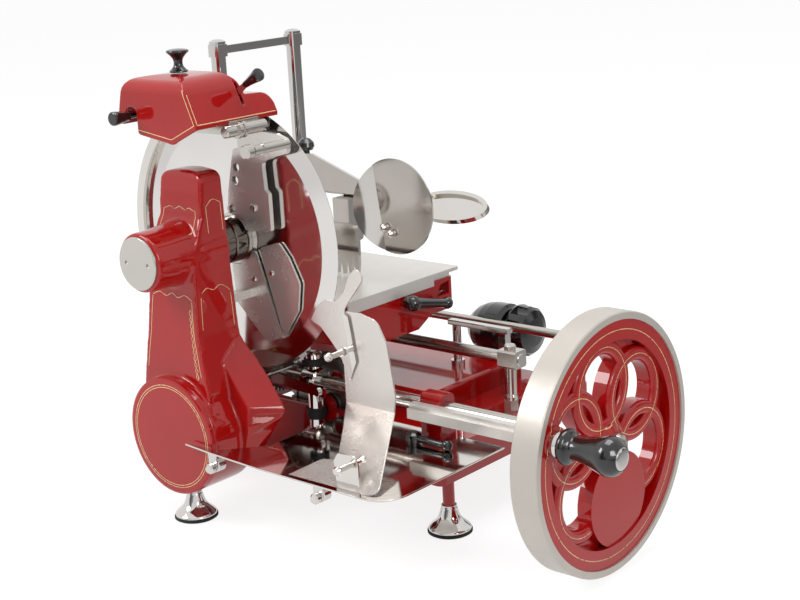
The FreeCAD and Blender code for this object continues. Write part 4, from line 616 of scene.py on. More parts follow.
def eased(obj: bpy.types.Object, width_mm: float, segments: int = 2) -> bpy.types.Object:
    """Take the sharpness off an object's corners.

    Args:
        obj: object to ease.
        width_mm: width of the bevel.
        segments: steps across the bevel.

    Returns:
        The same object.
    """
    bevel = obj.modifiers.new("ease", "BEVEL")
    bevel.width = width_mm * MM
    bevel.segments = segments
    bevel.limit_method = "ANGLE"
    bevel.angle_limit = math.radians(EASED_OVER)
    bake(obj)
    smooth_by_angle(obj, SMOOTH_UNDER)
    weigh = obj.modifiers.new("flat faces stay flat", "WEIGHTED_NORMAL")
    weigh.keep_sharp = True
    weigh.weight = LARGE_FACE_WEIGHT
    return bake(obj)


def slotted_screw(name: str, at: Sequence[float], axis: Sequence[float], radius: float,
                  turn: float = 25.0) -> bpy.types.Object:
    """Cheese-head screw with a milled slot.

    Args:
        name: name of the piece.
        at: middle of the face that the head lies on, in millimetres.
        axis: direction that the head stands up in.
        radius: radius of the head in millimetres.
        turn: turn of the slot in degrees.

    Returns:
        The head of the screw.
    """
    head = lathe(name, [(0, radius), (radius * 0.35, radius), (radius * 0.5, radius * 0.8),
                        (radius * 0.56, 0)], at, axis, 32)
    way = Vector(axis).normalized()
    blade = block("slot_tool", (-radius * 1.2, -radius * 0.13, radius * 0.3),
                  (radius * 1.2, radius * 0.13, radius))
    spin = Vector((0, 0, 1)).rotation_difference(way).to_matrix().to_4x4()
    blade.data.transform(Matrix.Translation(mm(*at)) @ spin @ Matrix.Rotation(math.radians(turn), 4, "Z"))
    return combine(head, [blade])


def new_piece(name: str, mesh: bpy.types.Mesh) -> bpy.types.Object:
    """Object for a mesh, linked to the scene.

    Args:
        name: name of the piece.
        mesh: its mesh.

    Returns:
        The object.
    """
    made = bpy.data.objects.new(name, mesh)
    bpy.context.scene.collection.objects.link(made)
    return made


def smooth_by_angle(obj: bpy.types.Object, degrees: float) -> None:
    """Shade an object's gentle edges smooth and keep its corners sharp.

    Args:
        obj: object to shade.
        degrees: largest angle between two faces whose edge is smooth.
    """
    bpy.context.view_layer.objects.active = obj
    obj.select_set(True)
    bpy.ops.object.shade_smooth_by_angle(angle=math.radians(degrees))
    obj.select_set(False)


# ---- the machine as it comes from the frame --------------------------------------------------------
@dataclass
class FrameDressing:
    """Puts a finish on every CAD node."""

    shop: PaintShop

    def dress(self, frame: dict) -> None:
        """Assign each node the finish of its slot.

        Args:
            frame: the loaded frame, with its record and its nodes.
        """
        for entry in frame["record"]["subparts"]:
            self.shop.dress(frame["nodes"][entry["node"]], entry["material_slot"])
            LOG.info("dressed %s", entry["node"])


@dataclass
class Fitter:
    """Finishes a piece, hangs it on its body and hides the solid it stands for, if it stands for one."""

    shop: PaintShop
    frame: dict

    def fit(self, piece: bpy.types.Object, node: str, stands_for: bool = True,
            slot: str | None = None, finish: Finish | None = None) -> bpy.types.Object:
        """Fit a piece beside or in place of a CAD node.

        Args:
            piece: finished object, in place.
            node: CAD node whose body it rides on.
            stands_for: whether the node is hidden behind it.
            slot: record slot, when it isn't the node's own.
            finish: what the piece is dressed in, when it isn't the finish of its slot.

        Returns:
            The piece.
        """
        record = self.frame["record"]
        own = next(e["material_slot"] for e in record["subparts"] if e["node"] == node)
        body = next(b for b, nodes in record["behaviour"]["bodies"].items() if node in nodes)
        slot = slot or own
        self.shop.dress(piece, finish.slot if finish else slot)
        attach(piece, body)
        if stands_for:
            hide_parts(node)
        LOG.info("fitted %s on %s", piece.name, body)
        return piece


SPINDLE_Z = 300.0
CASE_Z = 102.0
COLUMN_BACK = 49.0
COLLAR_BORE = 29.6          # radius of the bores that clear the turning collar of the knife
PLATE_SHIFT = (-5.0, -2.0)  # how far the sheet plates lie from their drawn outlines
Y_AXIS = (0, 1, 0)
X_AXIS = (1, 0, 0)
Z_AXIS = (0, 0, 1)


@dataclass
class ColumnCasting:
    """Cast column: tapered neck, spindle boss, gear case and the shoulder towards the flywheel."""

    fitter: Fitter
    top: float = 387.4
    top_half: float = 31.5
    case_radius: float = 66.0
    boss_radius: float = 32.0
    boss_front: float = -48.0
    case_front: float = -22.0
    case_setback: float = 8.0   # the case ends this far before the back of the column
    grid: float = 1.15
    passes: int = 20

    def build(self) -> bpy.types.Object:
        """Cast the column and fit it.

        Returns:
            The column, which takes the painted lines.
        """
        solids = gather("column_casting", [self._neck(), self._case(), self._boss(), self._shoulder()])
        return self.fitter.fit(as_cast(solids, self.grid, self.passes), "column_housing")

    def _neck(self) -> bpy.types.Object:
        """Tapered neck, its front view crossed with its side view.

        Returns:
            The neck, from the middle of the gear case to the top.
        """
        top, half = self.top, self.top_half
        left = [(-52, CASE_Z), (-52, 150), (-41, 215), (-35, 300), (-half, top - 13)]
        right = [(-x, z) for x, z in reversed(left)]
        front = outline(*left, ((-half + 2.5, top - 5), (-half + 9, top - 1.6)),
                        ((0, top + 0.5), (half - 9, top - 1.6)),
                        ((half - 2.5, top - 5), right[0]), *right[1:])
        side = outline((-13, CASE_Z), (-13, 140), ((-11, 210), (-6, 262)), ((2, 312), (14, 340)),
                       ((15.6, 362), (18, 378)), ((24, top + 0.4), (40, top + 0.6)),
                       (COLUMN_BACK, top + 0.6), (COLUMN_BACK, CASE_Z))
        body = slab("neck", front, Plane.XZ, -20, COLUMN_BACK)
        return combine(body, [slab("side_view", side, Plane.YZ, -60, 60)], "INTERSECT")

    def _case(self) -> bpy.types.Object:
        """Round gear case at the foot of the column.

        Returns:
            The case.
        """
        r = self.case_radius
        length = COLUMN_BACK - self.case_setback - self.case_front
        profile = [(0, r - 1), (1, r), (length - 4, r), (length, r - 4), (length, 0)]
        return lathe("case", profile, (0, self.case_front, CASE_Z), Y_AXIS, 120)

    def _boss(self) -> bpy.types.Object:
        """Spindle boss, widening towards the knife.

        Returns:
            The boss.
        """
        r = self.boss_radius
        profile = [(0, 0), (0, r - 1.5), (1.5, r), (28, r + 1.0), (44, r + 2.6), (60, r + 4), (97, r + 5)]
        return lathe("boss", profile, (0, self.boss_front, SPINDLE_Z), Y_AXIS, 96)

    def _shoulder(self) -> bpy.types.Object:
        """Shoulder towards the flywheel, wider at its back than at its front.

        Returns:
            The shoulder.
        """
        front = outline((0, 55), (40, 60), (70, 77), (77, 105), (79, 128), (81, 136),
                        ((62, 160), (44, 186)), (34, 205), (0, 205))
        back = outline((0, 50), (38, 55), (57, 67.5), (86, 105.5), (101, 123), (105, 130),
                       ((83.5, 162), (52, 195)), (34, 215), (0, 215))
        rings = [[Plane.XZ.place(x, z, y) for x, z in ring] for y, ring in ((16, front), (COLUMN_BACK, back))]
        return loft("shoulder", rings)


@dataclass
class SharpenerCover:
    """Domed cast cover of the sharpener with its slit, push-rod notch and low tail."""

    fitter: Fitter
    left: float = -62.0
    right: float = 58.0
    front: float = -5.0
    back: float = 114.0
    top: float = 489.0
    wall: float = 3.0
    grid: float = 0.8
    passes: int = 7

    def build(self) -> bpy.types.Object:
        """Cast, open below, and fit.

        Returns:
            The cover, which takes the painted lines.
        """
        shell = combine(self._form("sharpener_cover_shell", 0.0), [self._form("hollow", self.wall)])
        low, far = 395.0, 130.0
        under = outline((self.left - 2, 443), (-53, 441), (-30, 427), (14, 420.4), ((20, 419.6), (26, 422.2)),
                        (self.right + 2, 437.5), (self.right + 2, low), (self.left - 2, low))
        notch = rounded([(-50.6, 396), (-33.4, 396), (-33.4, 456, 8), (-50.6, 456, 8)])
        cuts = [slab("under", under, Plane.XZ, self.front - 2, self.front + self.wall + 0.2),
                slab("notch", notch, Plane.XZ, self.front - 2, self.front + self.wall + 2),
                block("behind", (self.left - 2, self.front + self.wall, low), (self.right + 2, far, 436.5)),
                block("slit", (38, 68.2, 453), (self.right + 2, 71.8, 480))]
        combine(shell, cuts)
        as_cast(shell, self.grid, self.passes)
        inside = block("sharpener_slide", (-30, 20, 441), (40, 60, 466))
        self.fitter.fit(eased(inside, 1.2), "sharpener_cover", False, "ground_steel")
        return self.fitter.fit(shell, "sharpener_cover")

    def _form(self, name: str, inset: float) -> bpy.types.Object:
        """Outer form of the cover, or the hollow inside it.

        Args:
            name: name of the piece.
            inset: how far its faces are set inwards.

        Returns:
            The form.
        """
        i, crown = inset, self.top
        x0, x1, top = self.left + i, self.right - i, crown - i
        y0, y1 = self.front + i, self.back - i
        seen = outline((x0, 400), (x0, 450), (x0 + 6, top - 15.5), ((x0 + 10.5, top - 7), (x0 + 20, top - 3)),
                       ((-10, top), (22, top - 1.5)), ((x1 - 24, top - 6), (x1 - 14, top - 17.5)),
                       (x1, 441), (x1, 400))
        beside = outline((y0, 400), (y0, top - 17.5), ((y0 + 4, top - 8.5), (y0 + 13, top - 3.5)),
                         ((40, top + 1), (58 - i, top - 0.5)), ((70 - i, top - 6.5), (75.5 - i, top - 21.5)),
                         (77 - i, crown - 25.5 - i), (98 - i, crown - 26.5 - i),
                         ((110 - i, crown - 31.5 - i), (y1, crown - 43.5 - i)), (y1, 400))
        body = slab(name, seen, Plane.XZ, -30, 140)
        return combine(body, [slab("beside", beside, Plane.YZ, -100, 100)], "INTERSECT")


@dataclass
class SpindleAndBracket:
    """Steel between column and blade: fixed sleeve, bracket plate, pins and the turning collar."""

    fitter: Fitter
    plate_front: float = 82.9
    plate_back: float = 88.3
    sleeve_radius: float = 26.0
    sleeve_end: float = 86.7
    collar_front: float = 87.3

    def build(self) -> None:
        """Turn and fit every piece."""
        node = "sharpener_bracket"
        end = self.sleeve_end - COLUMN_BACK
        r = self.sleeve_radius
        sleeve = lathe("spindle_sleeve", [(0, 9), (0, r - 2), (21.2, r - 2), (22, r - 0.8), (22.8, r),
                                          (end - 1, r), (end, r - 1), (end, 9)],
                       (0, COLUMN_BACK, SPINDLE_Z), Y_AXIS, 120)
        self.fitter.fit(sleeve, node, False, "ground_steel", DARK_BAR)
        self.fitter.fit(self._plate(), node, finish=SATIN_SHEET)
        pin = [(0, 0), (0, 6.3), (1.2, 7.5), (8.2, 7.5), (9, 6.8), (9, 4), (12, 4), (12.4, 5), (24, 5),
               (24, 6.2), (26, 6.2), (26, 5), (63, 5), (63, 0)]
        self.fitter.fit(lathe("upper_pin", pin, (95, 25, 412), Y_AXIS), node, False)
        collars = [(0, 0), (0, 5), (1, 6.5), (16, 6.5), (16, 9), (20, 9), (20, 7.5), (23, 7.5), (23, 9),
                   (27, 9), (27, 7), (57, 7), (57, 0)]
        self.fitter.fit(lathe("collared_shaft", collars, (62, 30, 430), Y_AXIS), node, False)
        base = eased(block("sharpener_seat", (-16, 40, 425), (60, self.plate_front, 440)), 1.0)
        self.fitter.fit(base, node, False)
        for number, x in enumerate((-12, 12)):
            guide = lathe(f"guide_pin_{number}", [(0, 0), (0, 4), (41, 4), (42, 3), (42, 0)],
                          (x, 52, 440), Z_AXIS, 40)
            self.fitter.fit(guide, node, False)
        for number, (x, z, turn) in enumerate(((6, 335, 20), (42, 339, 70))):
            screw = slotted_screw(f"bracket_screw_{number}", (x, self.plate_front, z), (0, -1, 0), 4.6, turn)
            self.fitter.fit(screw, node, False)
        collar = [(0, 9), (0, 24), (1, 26), (3.5, 26), (3.5, 29), (6.5, 29), (6.5, 9)]
        turned = lathe("blade_collar", collar, (0, self.collar_front, SPINDLE_Z), Y_AXIS, 96)
        self.fitter.fit(turned, "blade_hub")

    def _plate(self) -> bpy.types.Object:
        """Bracket plate with two small bores and the rounding that clears the collar.

        Returns:
            The plate.
        """
        edge = rounded([(12, 314, 3), (5, 330, 8), (9, 358, 10), (21, 404, 4), (29, 404, 2), (29, 440),
                        (60, 440), (60, 426, 3), (88, 424, 5), (104, 419, 6), (104, 404, 7), (88, 400, 8),
                        (64, 392, 8), (66, 362, 3), (71, 358, 3), (71, 316, 5)])
        plate = slab("bracket_plate", shifted(edge, PLATE_SHIFT), Plane.XZ, self.plate_front, self.plate_back)
        bores = [cylinder("bore", radius, 16, (x, 78, z), Y_AXIS)
                 for x, z, radius in ((19, 381.5, 4.7), (16, 367, 4.7), (0, SPINDLE_Z, COLLAR_BORE))]
        return eased(combine(plate, bores), 0.5)


@dataclass
class BladeCovers:
    """Two satin plates behind the lower blade, the stay that holds them, and the bent trough below."""

    fitter: Fitter
    front: float = 89.8
    back: float = 92.2

    def build(self) -> None:
        """Cut the plates, bend the trough and fit them."""
        node = "blade_cover_plates"
        z = SPINDLE_Z
        halves = {
            "cover_plate_left": [(-2, z - 27), (36.4, z - 8, 5), (70.6, z - 104), (45, z - 112, 8),
                                 (2, z - 72, 6)],
            "cover_plate_right": [(43, z - 6, 5), (74, z + 4, 7), (88, z - 12, 8), (102, z - 38.5, 10),
                                  (97, z - 70, 12), (72.6, z - 104)]}
        for name, corners_of in halves.items():
            edge = shifted(rounded(corners_of), PLATE_SHIFT)
            plate = slab(name, edge, Plane.XZ, self.front, self.back)
            bore = cylinder("bore", COLLAR_BORE, 20, (0, 80, z), Y_AXIS, 96)
            self.fitter.fit(eased(combine(plate, [bore]), 0.35), node, finish=SATIN_SHEET)
        stay = eased(block("cover_stay", (8, COLUMN_BACK - 2, z - 66), (20, self.front + 0.2, z - 56)), 0.5)
        self.fitter.fit(stay, node, False)
        for number, (x, up) in enumerate(((27, -44), (55, -34))):
            screw = slotted_screw(f"cover_screw_{number}", (x, self.front, z + up), (0, -1, 0), 3.2, 30)
            self.fitter.fit(screw, node, False)
        path = rounded([(-40, 156), (-22, 147, 8), (36, 146, 8), (66, 158)])
        inner = [(x, height + 1.6) for x, height in reversed(path)]
        trough = slab("drip_trough_sheet", [*path, *inner], Plane.XZ, COLUMN_BACK + 8, 101)
        self.fitter.fit(eased(trough, 0.3), node, False)


@dataclass
class SliceTray:
    """Mirror tray in front of the base, its clips below and the bracket that props the tall plate."""

    fitter: Fitter
    top: float = 102.0
    thick: float = 2.0

    def build(self) -> None:
        """Cut the tray, bend its fittings and fit them."""
        edge = rounded([(30, -33), (75, -38), (150, -43), (326, -46, 34), (326, 142), (267, 142), (267, 114),
                        (230, 114), (230, 142), (113, 142), (113, 12, 4), (75, -28)])
        under = self.top - self.thick
        tray = slab("slice_tray_sheet", edge, Plane.XY, under, self.top)
        self.fitter.fit(eased(tray, 0.4), "slice_tray")
        for number, x in enumerate((76, 228)):
            clip = slab("clip", rounded([(x - 6, under), (x + 6, under), (x + 6, 80, 5), (x - 6, 80, 5)]),
                        Plane.XZ, -37, -35)
            roll = lathe("roll", [(0, 0), (0, 6.5), (1, 7.6), (10, 7.6), (11, 6.6), (11, 0)],
                         (x, -35, 87), Y_AXIS, 48)
            nut = lathe("nut", [(0, 0), (0.6, 3.6), (3, 5.6), (7, 5.6), (8, 4.6), (8, 0)],
                        (x, -45, 85), Y_AXIS, 48)
            made = gather(f"tray_clip_{number}", [eased(clip, 0.3), roll, nut])
            self.fitter.fit(made, "slice_tray", False, "chrome_plate")
        prop = rounded([(252, self.top), (250, 128, 3), (256, 137, 4), (278, 137, 5), (282, 128, 4),
                        (282, self.top)])
        plate = eased(slab("prop", prop, Plane.XZ, -34, -31.6), 0.4)
        rod = lathe("rod", [(0, 0), (0.6, 3.2), (3.6, 4.8), (6.8, 3.4), (7.4, 2.8), (36, 2.8), (37, 3.4),
                            (40, 4.6), (43, 3.2), (43.6, 0)], (266, -50, 124), Y_AXIS, 40)
        self.fitter.fit(gather("plate_prop", [plate, rod]), "slice_tray", False)


@dataclass
class SlicingPlates:
    """Curved peeling plate with its tab, and the tall plate that folds onto the tray."""

    fitter: Fitter
    peel_front: float = 78.0
    tall_front: float = 80.3
    thick: float = 2.0
    fold: float = 140.0
    slope_run: float = 118.3
    slope_drop: float = 38.0

    def build(self) -> None:
        """Cut, bend and fit both plates."""
        peel = rounded([(190, 291.5, 9), (201, 280, 9), (174, 248, 5), (170.5, 242, 5), (178, 212, 30),
                        (182.5, 186, 6), (173, 165, 1.5), (161.5, 192, 12), (150, 205, 10), (135, 220, 10),
                        (121, 225, 3), (131, 241, 12), (143, 250.5, 7), (160, 250.5, 10), (172, 263, 6),
                        (179, 279, 9)])
        plate = slab("peeling_plate", peel, Plane.XZ, self.peel_front, self.peel_front + self.thick)
        self.fitter.fit(eased(plate, 0.45), "deflector_plate", finish=SATIN_SHEET)
        stiffener = slab("peeling_plate_flange", rounded([(168.5, 240), (176, 236), (184, 188), (178, 176)]),
                         Plane.XZ, self.peel_front - 0.4, self.peel_front)
        self.fitter.fit(stiffener, "deflector_plate", False)
        tall = rounded([(164, self.fold), (164, 200), (171, 241), (189, 241.5, 20), (213, 236, 16),
                        (225, 214, 24), (231, 176, 30), (233.5, 158, 12), (231, self.fold)])
        upright = slab("tall_plate", tall, Plane.XZ, self.tall_front, self.tall_front + self.thick)
        run, drop = self.slope_run, self.slope_drop
        length = math.hypot(run, drop)
        sheet = rounded([(164, 0), (194, 41, 30), (220, 79.5, 8), (223, 88, 6), (207, 92.6, 8), (190, length),
                         (308, length, 10), (231, 0)])
        rings = [[mm(x, self.tall_front - run * t / length + shift, self.fold - drop * t / length + 0.2)
                  for x, t in sheet] for shift in (0, self.thick)]
        both = combine(upright, [loft("slope", rings)], "UNION")
        self.fitter.fit(eased(both, 0.4), "receiving_plate", finish=SATIN_SHEET)
        pin = [(0, 0), (0.3, 2.6), (1.6, 4.2), (4.6, 5.0), (7.6, 4.2), (8.8, 3), (23, 3), (23, 4.6),
               (25, 4.6), (25, 3), (34, 3), (35.4, 4.4), (38, 4.9), (40.6, 4.2), (42, 2.4), (42.2, 0)]
        self.fitter.fit(lathe("peeling_plate_pin", pin, (165, 52, 196), Y_AXIS, 40), "receiving_plate", False)


@dataclass
class TurnedPieces:
    """Knobs, grip and feet, all made on a lathe."""

    fitter: Fitter
    grip_axis: tuple[float, float] = (31.04, 167.83)
    grip_start: float = 478.0
    cap_start: float = 538.4
    cover_knob_foot: tuple[float, float, float] = (0.0, 30.0, 490.4)
    push_axis: tuple[float, float] = (-42.0, 447.0)
    push_start: float = -31.0
    feet: tuple[tuple[float, float], ...] = ((0, 0), (263, 124), (-92, 352), (257, 352))

    def build(self) -> None:
        """Turn and fit every piece."""
        y, z = self.grip_axis
        grip = [(0, 0), (0, 12.5), (1.0, 15.4), *flowing([(2.6, 16.8), (5, 17.3), (8, 16.2), (10.6, 12.4),
                (13.5, 10.7), (22, 11.6), (36, 15.2), (46, 18.2), (52, 18.8), (57.5, 17.0), (61.5, 13.4)]),
                (63, 11.4), (63, 0)]
        self.fitter.fit(lathe("grip_turned", grip, (self.grip_start, y, z), X_AXIS, 96), "crank_handle_grip")
        cap = [(0, 0), (0, 10.6), (2.6, 10.6), (3.4, 9.6), (3.9, 6), (4.1, 0)]
        self.fitter.fit(lathe("grip_cap_disc", cap, (self.cap_start, y, z), X_AXIS), "grip_cap")
        knob = [(0, 0), (0, 9.4), (0.6, 10), *flowing([(1.6, 9.8), (3.6, 7.6), (6.4, 5.4), (10, 4.7),
                (14, 5.6), (17.6, 8.4), (20.4, 11.4), (21.8, 12), (23.2, 11.2)]), (24.2, 7.4), (24.6, 0)]
        self.fitter.fit(lathe("cover_knob_turned", knob, self.cover_knob_foot, Z_AXIS), "cover_knob")
        x, z = self.push_axis
        push = [(0, 0), (0, 6.2), (0.8, 7.2), *flowing([(2, 7.5), (6, 7.3), (14, 6.1), (19, 5.1), (22, 5)]),
                (22.6, 4.0), (22.6, 3.0), (115, 3.0), (115, 0)]
        self.fitter.fit(lathe("push_knob_turned", push, (x, self.push_start, z), Y_AXIS), "push_knob")
        self._hone()
        bell = [(4, 0), (4, 22.5), *flowing([(4.6, 23.2), (6.4, 22.9), (9.5, 19.8), (13.5, 15.2), (18, 12.0),
                (24, 10.0), (28.5, 8.9)]), (29.4, 8.4), (31, 8.2), (31, 0)]
        bells = [lathe(f"bell_{i}", bell, (fx, fy, 0), Z_AXIS) for i, (fx, fy) in enumerate(self.feet)]
        self.fitter.fit(gather("bell_feet", bells), "levelling_feet")

    def _hone(self) -> None:
        """Make and fit the lever of the honing stone and its conical knob."""
        arm = slab("hone_arm", rounded([(24, 452), (31, 450, 3), (59, 472.5), (56, 477), (25, 459, 3)]),
                   Plane.XZ, 68.6, 71.4)
        pivot = cylinder("hone_pivot", 4, 66, (28, 40, 455), Y_AXIS, 40)
        foot = slab("hone_foot", rounded([(24, 458, 3), (32, 458, 3), (38, 446, 3), (30, 444, 3)]),
                    Plane.XZ, 102, 106)
        stone = cylinder("hone_stone", 9, 3.5, (34, 98.5, 446), Y_AXIS)
        self.fitter.fit(gather("hone_lever_made", [eased(arm, 0.5), pivot, foot, stone]), "hone_lever")
        way = Vector((22.8, 0, 12.4)).normalized()
        cone = [(0, 0), (0, 3.2), *flowing([(1, 3.6), (8, 4.3), (16, 5.6), (22, 6.8), (25, 7.1)]),
                (26.2, 6.4), (26.6, 5), (26.6, 0)]
        self.fitter.fit(lathe("hone_knob_turned", cone, (56.2, 70, 474), way), "hone_knob")


@dataclass
class Pinstriper:
    """Lays thin painted lines on enamel by dropping their points onto its surface."""

    fitter: Fitter
    step_mm: float = 1.4
    jump_mm: float = 4.0

    def paint(self, name: str, on: Sequence[bpy.types.Object], node: str, plane: Plane, start: float,
              forward: int, paths: Iterable[Sequence[Flat]], width: float = 0.75) -> None:
        """Paint one set of lines.

        Args:
            name: name of the piece.
            on: objects whose surface takes the paint.
            node: CAD node whose body the lines ride on.
            plane: plane that the lines are drawn in.
            start: depth in millimetres that the points start from.
            forward: 1 to drop them towards higher depth, -1 towards lower.
            paths: lines as outline points in millimetres.
            width: width of a line in millimetres.
        """
        graph = bpy.context.evaluated_depsgraph_get()
        trees = [BVHTree.FromObject(obj, graph) for obj in on]
        way = plane.place(0, 0, forward).normalized()
        shape = bmesh.new()
        for path in paths:
            last = None
            for left, right in self._edges(path, width):
                hits = [self._drop(trees, plane.place(*spot, start), way) for spot in (left, right)]
                if None in hits or (hits[0] - hits[1]).length > self.jump_mm * MM:
                    last = None
                    continue
                row = [shape.verts.new(hit) for hit in hits]
                if last and (row[0].co - last[0].co).length < (self.jump_mm + self.step_mm) * MM:
                    shape.faces.new((*last, row[1], row[0]))
                last = row
        bmesh.ops.delete(shape, geom=[v for v in shape.verts if not v.link_faces], context="VERTS")
        line = from_bmesh(name, shape)
        skin = line.modifiers.new("skin", "SOLIDIFY")
        skin.thickness = PROUD * MM
        skin.offset = 0.0
        line.data.shade_smooth()
        self.fitter.shop.dress(line, STRIPE_PAINT.slot)
        bake(line)
        record = self.fitter.frame["record"]
        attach(line, next(b for b, nodes in record["behaviour"]["bodies"].items() if node in nodes))
        LOG.info("painted %s, %d faces", name, len(line.data.polygons))

    def _edges(self, path: Sequence[Flat], width: float) -> list[tuple[Flat, Flat]]:
        """Both edges of a line, at even steps.

        Args:
            path: the line as outline points in millimetres.
            width: width of the line.

        Returns:
            Pairs of points, one on each edge.
        """
        rows = []
        for a, b in zip(path, path[1:]):
            start, run = Vector(a), Vector(b) - Vector(a)
            if run.length < 1e-6:
                continue
            side = Vector((-run.y, run.x)).normalized() * width / 2
            count = max(1, round(run.length / self.step_mm))
            for i in range(count + 1):
                spot = start + run * i / count
                rows.append((tuple(spot + side), tuple(spot - side)))
        return rows

    @staticmethod
    def _drop(trees: Sequence[BVHTree], start: Vector, way: Vector) -> Vector | None:
        """Drop a point onto the nearest surface.

        Args:
            trees: the surfaces.
            start: where the point starts.
            way: direction it is dropped in.

        Returns:
            The point that it meets, lifted by the thickness of the paint, or None.
        """
        best = None
        for tree in trees:
            hit, normal, _, distance = tree.ray_cast(start, way)
            if hit is not None and (best is None or distance < best[0]):
                if normal.dot(way) > 0:
                    normal = -normal
                best = (distance, hit + normal * PROUD * MM)
        return best[1] if best else None


@dataclass
class LineWork:
    """All the painted lines of the machine."""

    striper: Pinstriper
    frame: dict
    wheel: tuple[float, float] = (129.0, 136.0)
    ring_pitch: float = 60.0
    ring_radius: float = 40.5
    rings: int = 6
    solid_ring: int = 1
    flange_line: float = 113.5
    flange_clear: float = 103.0     # ring lines end this far from the middle of the wheel
    solid_clear: float = 48.0       # and start this far from the middle of the solid ring
    pattern_turn: float = math.radians(-140)

    def build(self, column: bpy.types.Object, cover: bpy.types.Object) -> None:
        """Paint the column, the cover, the gear case and the flywheel.

        Args:
            column: the column's skin.
            cover: the sharpener cover's skin.
        """
        nodes = self.frame["nodes"]
        self.striper.paint("column_front_lines", [column], "column_housing", Plane.XZ, -120, 1,
                           self._front_panels())
        self.striper.paint("column_side_lines", [column], "column_housing", Plane.YZ, 140, -1,
                           self._side_panel())
        self.striper.paint("case_ring", [nodes["gear_case_cover"]], "gear_case_cover", Plane.XZ, -80, 1,
                           [self._circle((0, CASE_Z), 58.0), self._circle((0, CASE_Z), 55.4)], 0.8)
        skirt = [(-33, 432.6), (16, 425.4), (20, 425.2), (55.5, 441.5), (42.5, 472), (39, 479)]
        self.striper.paint("cover_front_lines", [cover], "sharpener_cover", Plane.XZ, -60, 1, [skirt], 0.9)
        self.striper.paint("cover_side_lines", [cover], "sharpener_cover", Plane.YZ, 120, -1,
                           [[(-1.2, 472), (-2.4, 441.6), (111, 441.6)]], 0.9)
        wheel = [nodes["flywheel"]]
        self.striper.paint("wheel_lines", wheel, "flywheel", Plane.YZ, 560, -1, self._wheel(), 0.8)

    def _circle(self, centre: Flat, radius: float, steps: int = 120) -> list[Flat]:
        """Closed circle."""
        return [(centre[0] + radius * math.cos(math.tau * i / steps),
                 centre[1] + radius * math.sin(math.tau * i / steps)) for i in range(steps + 1)]

    def _wheel(self) -> list[list[Flat]]:
        """Flange circle and one circle on each open ring.

        Returns:
            The lines, broken where a ring runs into the flange or the solid ring.
        """
        lines = [self._circle(self.wheel, self.flange_line, 240)]
        for index in range(self.rings):
            if index == self.solid_ring:
                continue
            run: list[Flat] = []
            for point in [*self._circle(self._ring_centre(index), self.ring_radius), None]:
                if point and self._is_open(point):
                    run.append(point)
                elif run:
                    lines.append(run)
                    run = []
        return lines

    def _is_open(self, point: Flat) -> bool:
        """Whether a ring's line shows here, inside the flange and clear of the solid ring."""
        solid = self._ring_centre(self.solid_ring)
        return math.dist(point, self.wheel) < self.flange_clear and math.dist(point, solid) > self.solid_clear

    def _ring_centre(self, index: int) -> Flat:
        """Middle of one of the interlaced rings."""
        turn = self.pattern_turn + math.tau * index / self.rings
        return (self.wheel[0] + self.ring_pitch * math.cos(turn),
                self.wheel[1] + self.ring_pitch * math.sin(turn))

    @staticmethod
    def _twist(low: Flat, high: Flat, swing: float, turns: int) -> list[list[Flat]]:
        """Two strands that wind round each other between two points.

        Args:
            low: where they start.
            high: where they end.
            swing: how far each swings to the side, in millimetres.
            turns: half turns on the way.

        Returns:
            Both strands.
        """
        a, b = Vector(low), Vector(high)
        side = Vector((-(b - a).y, (b - a).x)).normalized() * swing
        count = turns * 10
        return [[tuple(a + (b - a) * i / count + side * sign * math.sin(math.pi * turns * i / count))
                 for i in range(count + 1)] for sign in (-1, 1)]

    def _front_panels(self) -> list[list[Flat]]:
        """Panels above and below the spindle boss, with a waved head.

        Returns:
            Their lines.
        """
        head = flowing([(-24, 346), (-15, 349), (-8, 346.4), (0, 349.6), (8, 346.4), (15, 349), (22, 346)])
        lines = [head, [(24, 347), (26.5, 322)], [(-25, 346), (-27.5, 322)]]
        lower = flowing([(-31, 254), (-20, 258.4), (-9, 255), (0, 259), (9, 255), (20, 258.4), (31, 254)])
        lines += [lower, [(31, 253), (34.5, 214), (42.5, 172)], [(-31, 253), (-34.5, 214), (-42.5, 172)]]
        return lines + self._twist((37, 168), (28.5, 244), 1.7, 11)

    def _side_panel(self) -> list[list[Flat]]:
        """Panel on the flywheel side of the column.

        Returns:
            Its lines.
        """
        head = flowing([(2, 261), (10, 265), (19, 261.6), (28, 265), (37, 261), (42, 256)])
        return [head, [(0, 256), (-3, 222)], [(42.5, 254), (42.5, 218)],
                [(22, 350), (22, 322)], [(43, 352), (43, 322)], flowing([(22, 350), (32, 357), (43, 352)])]


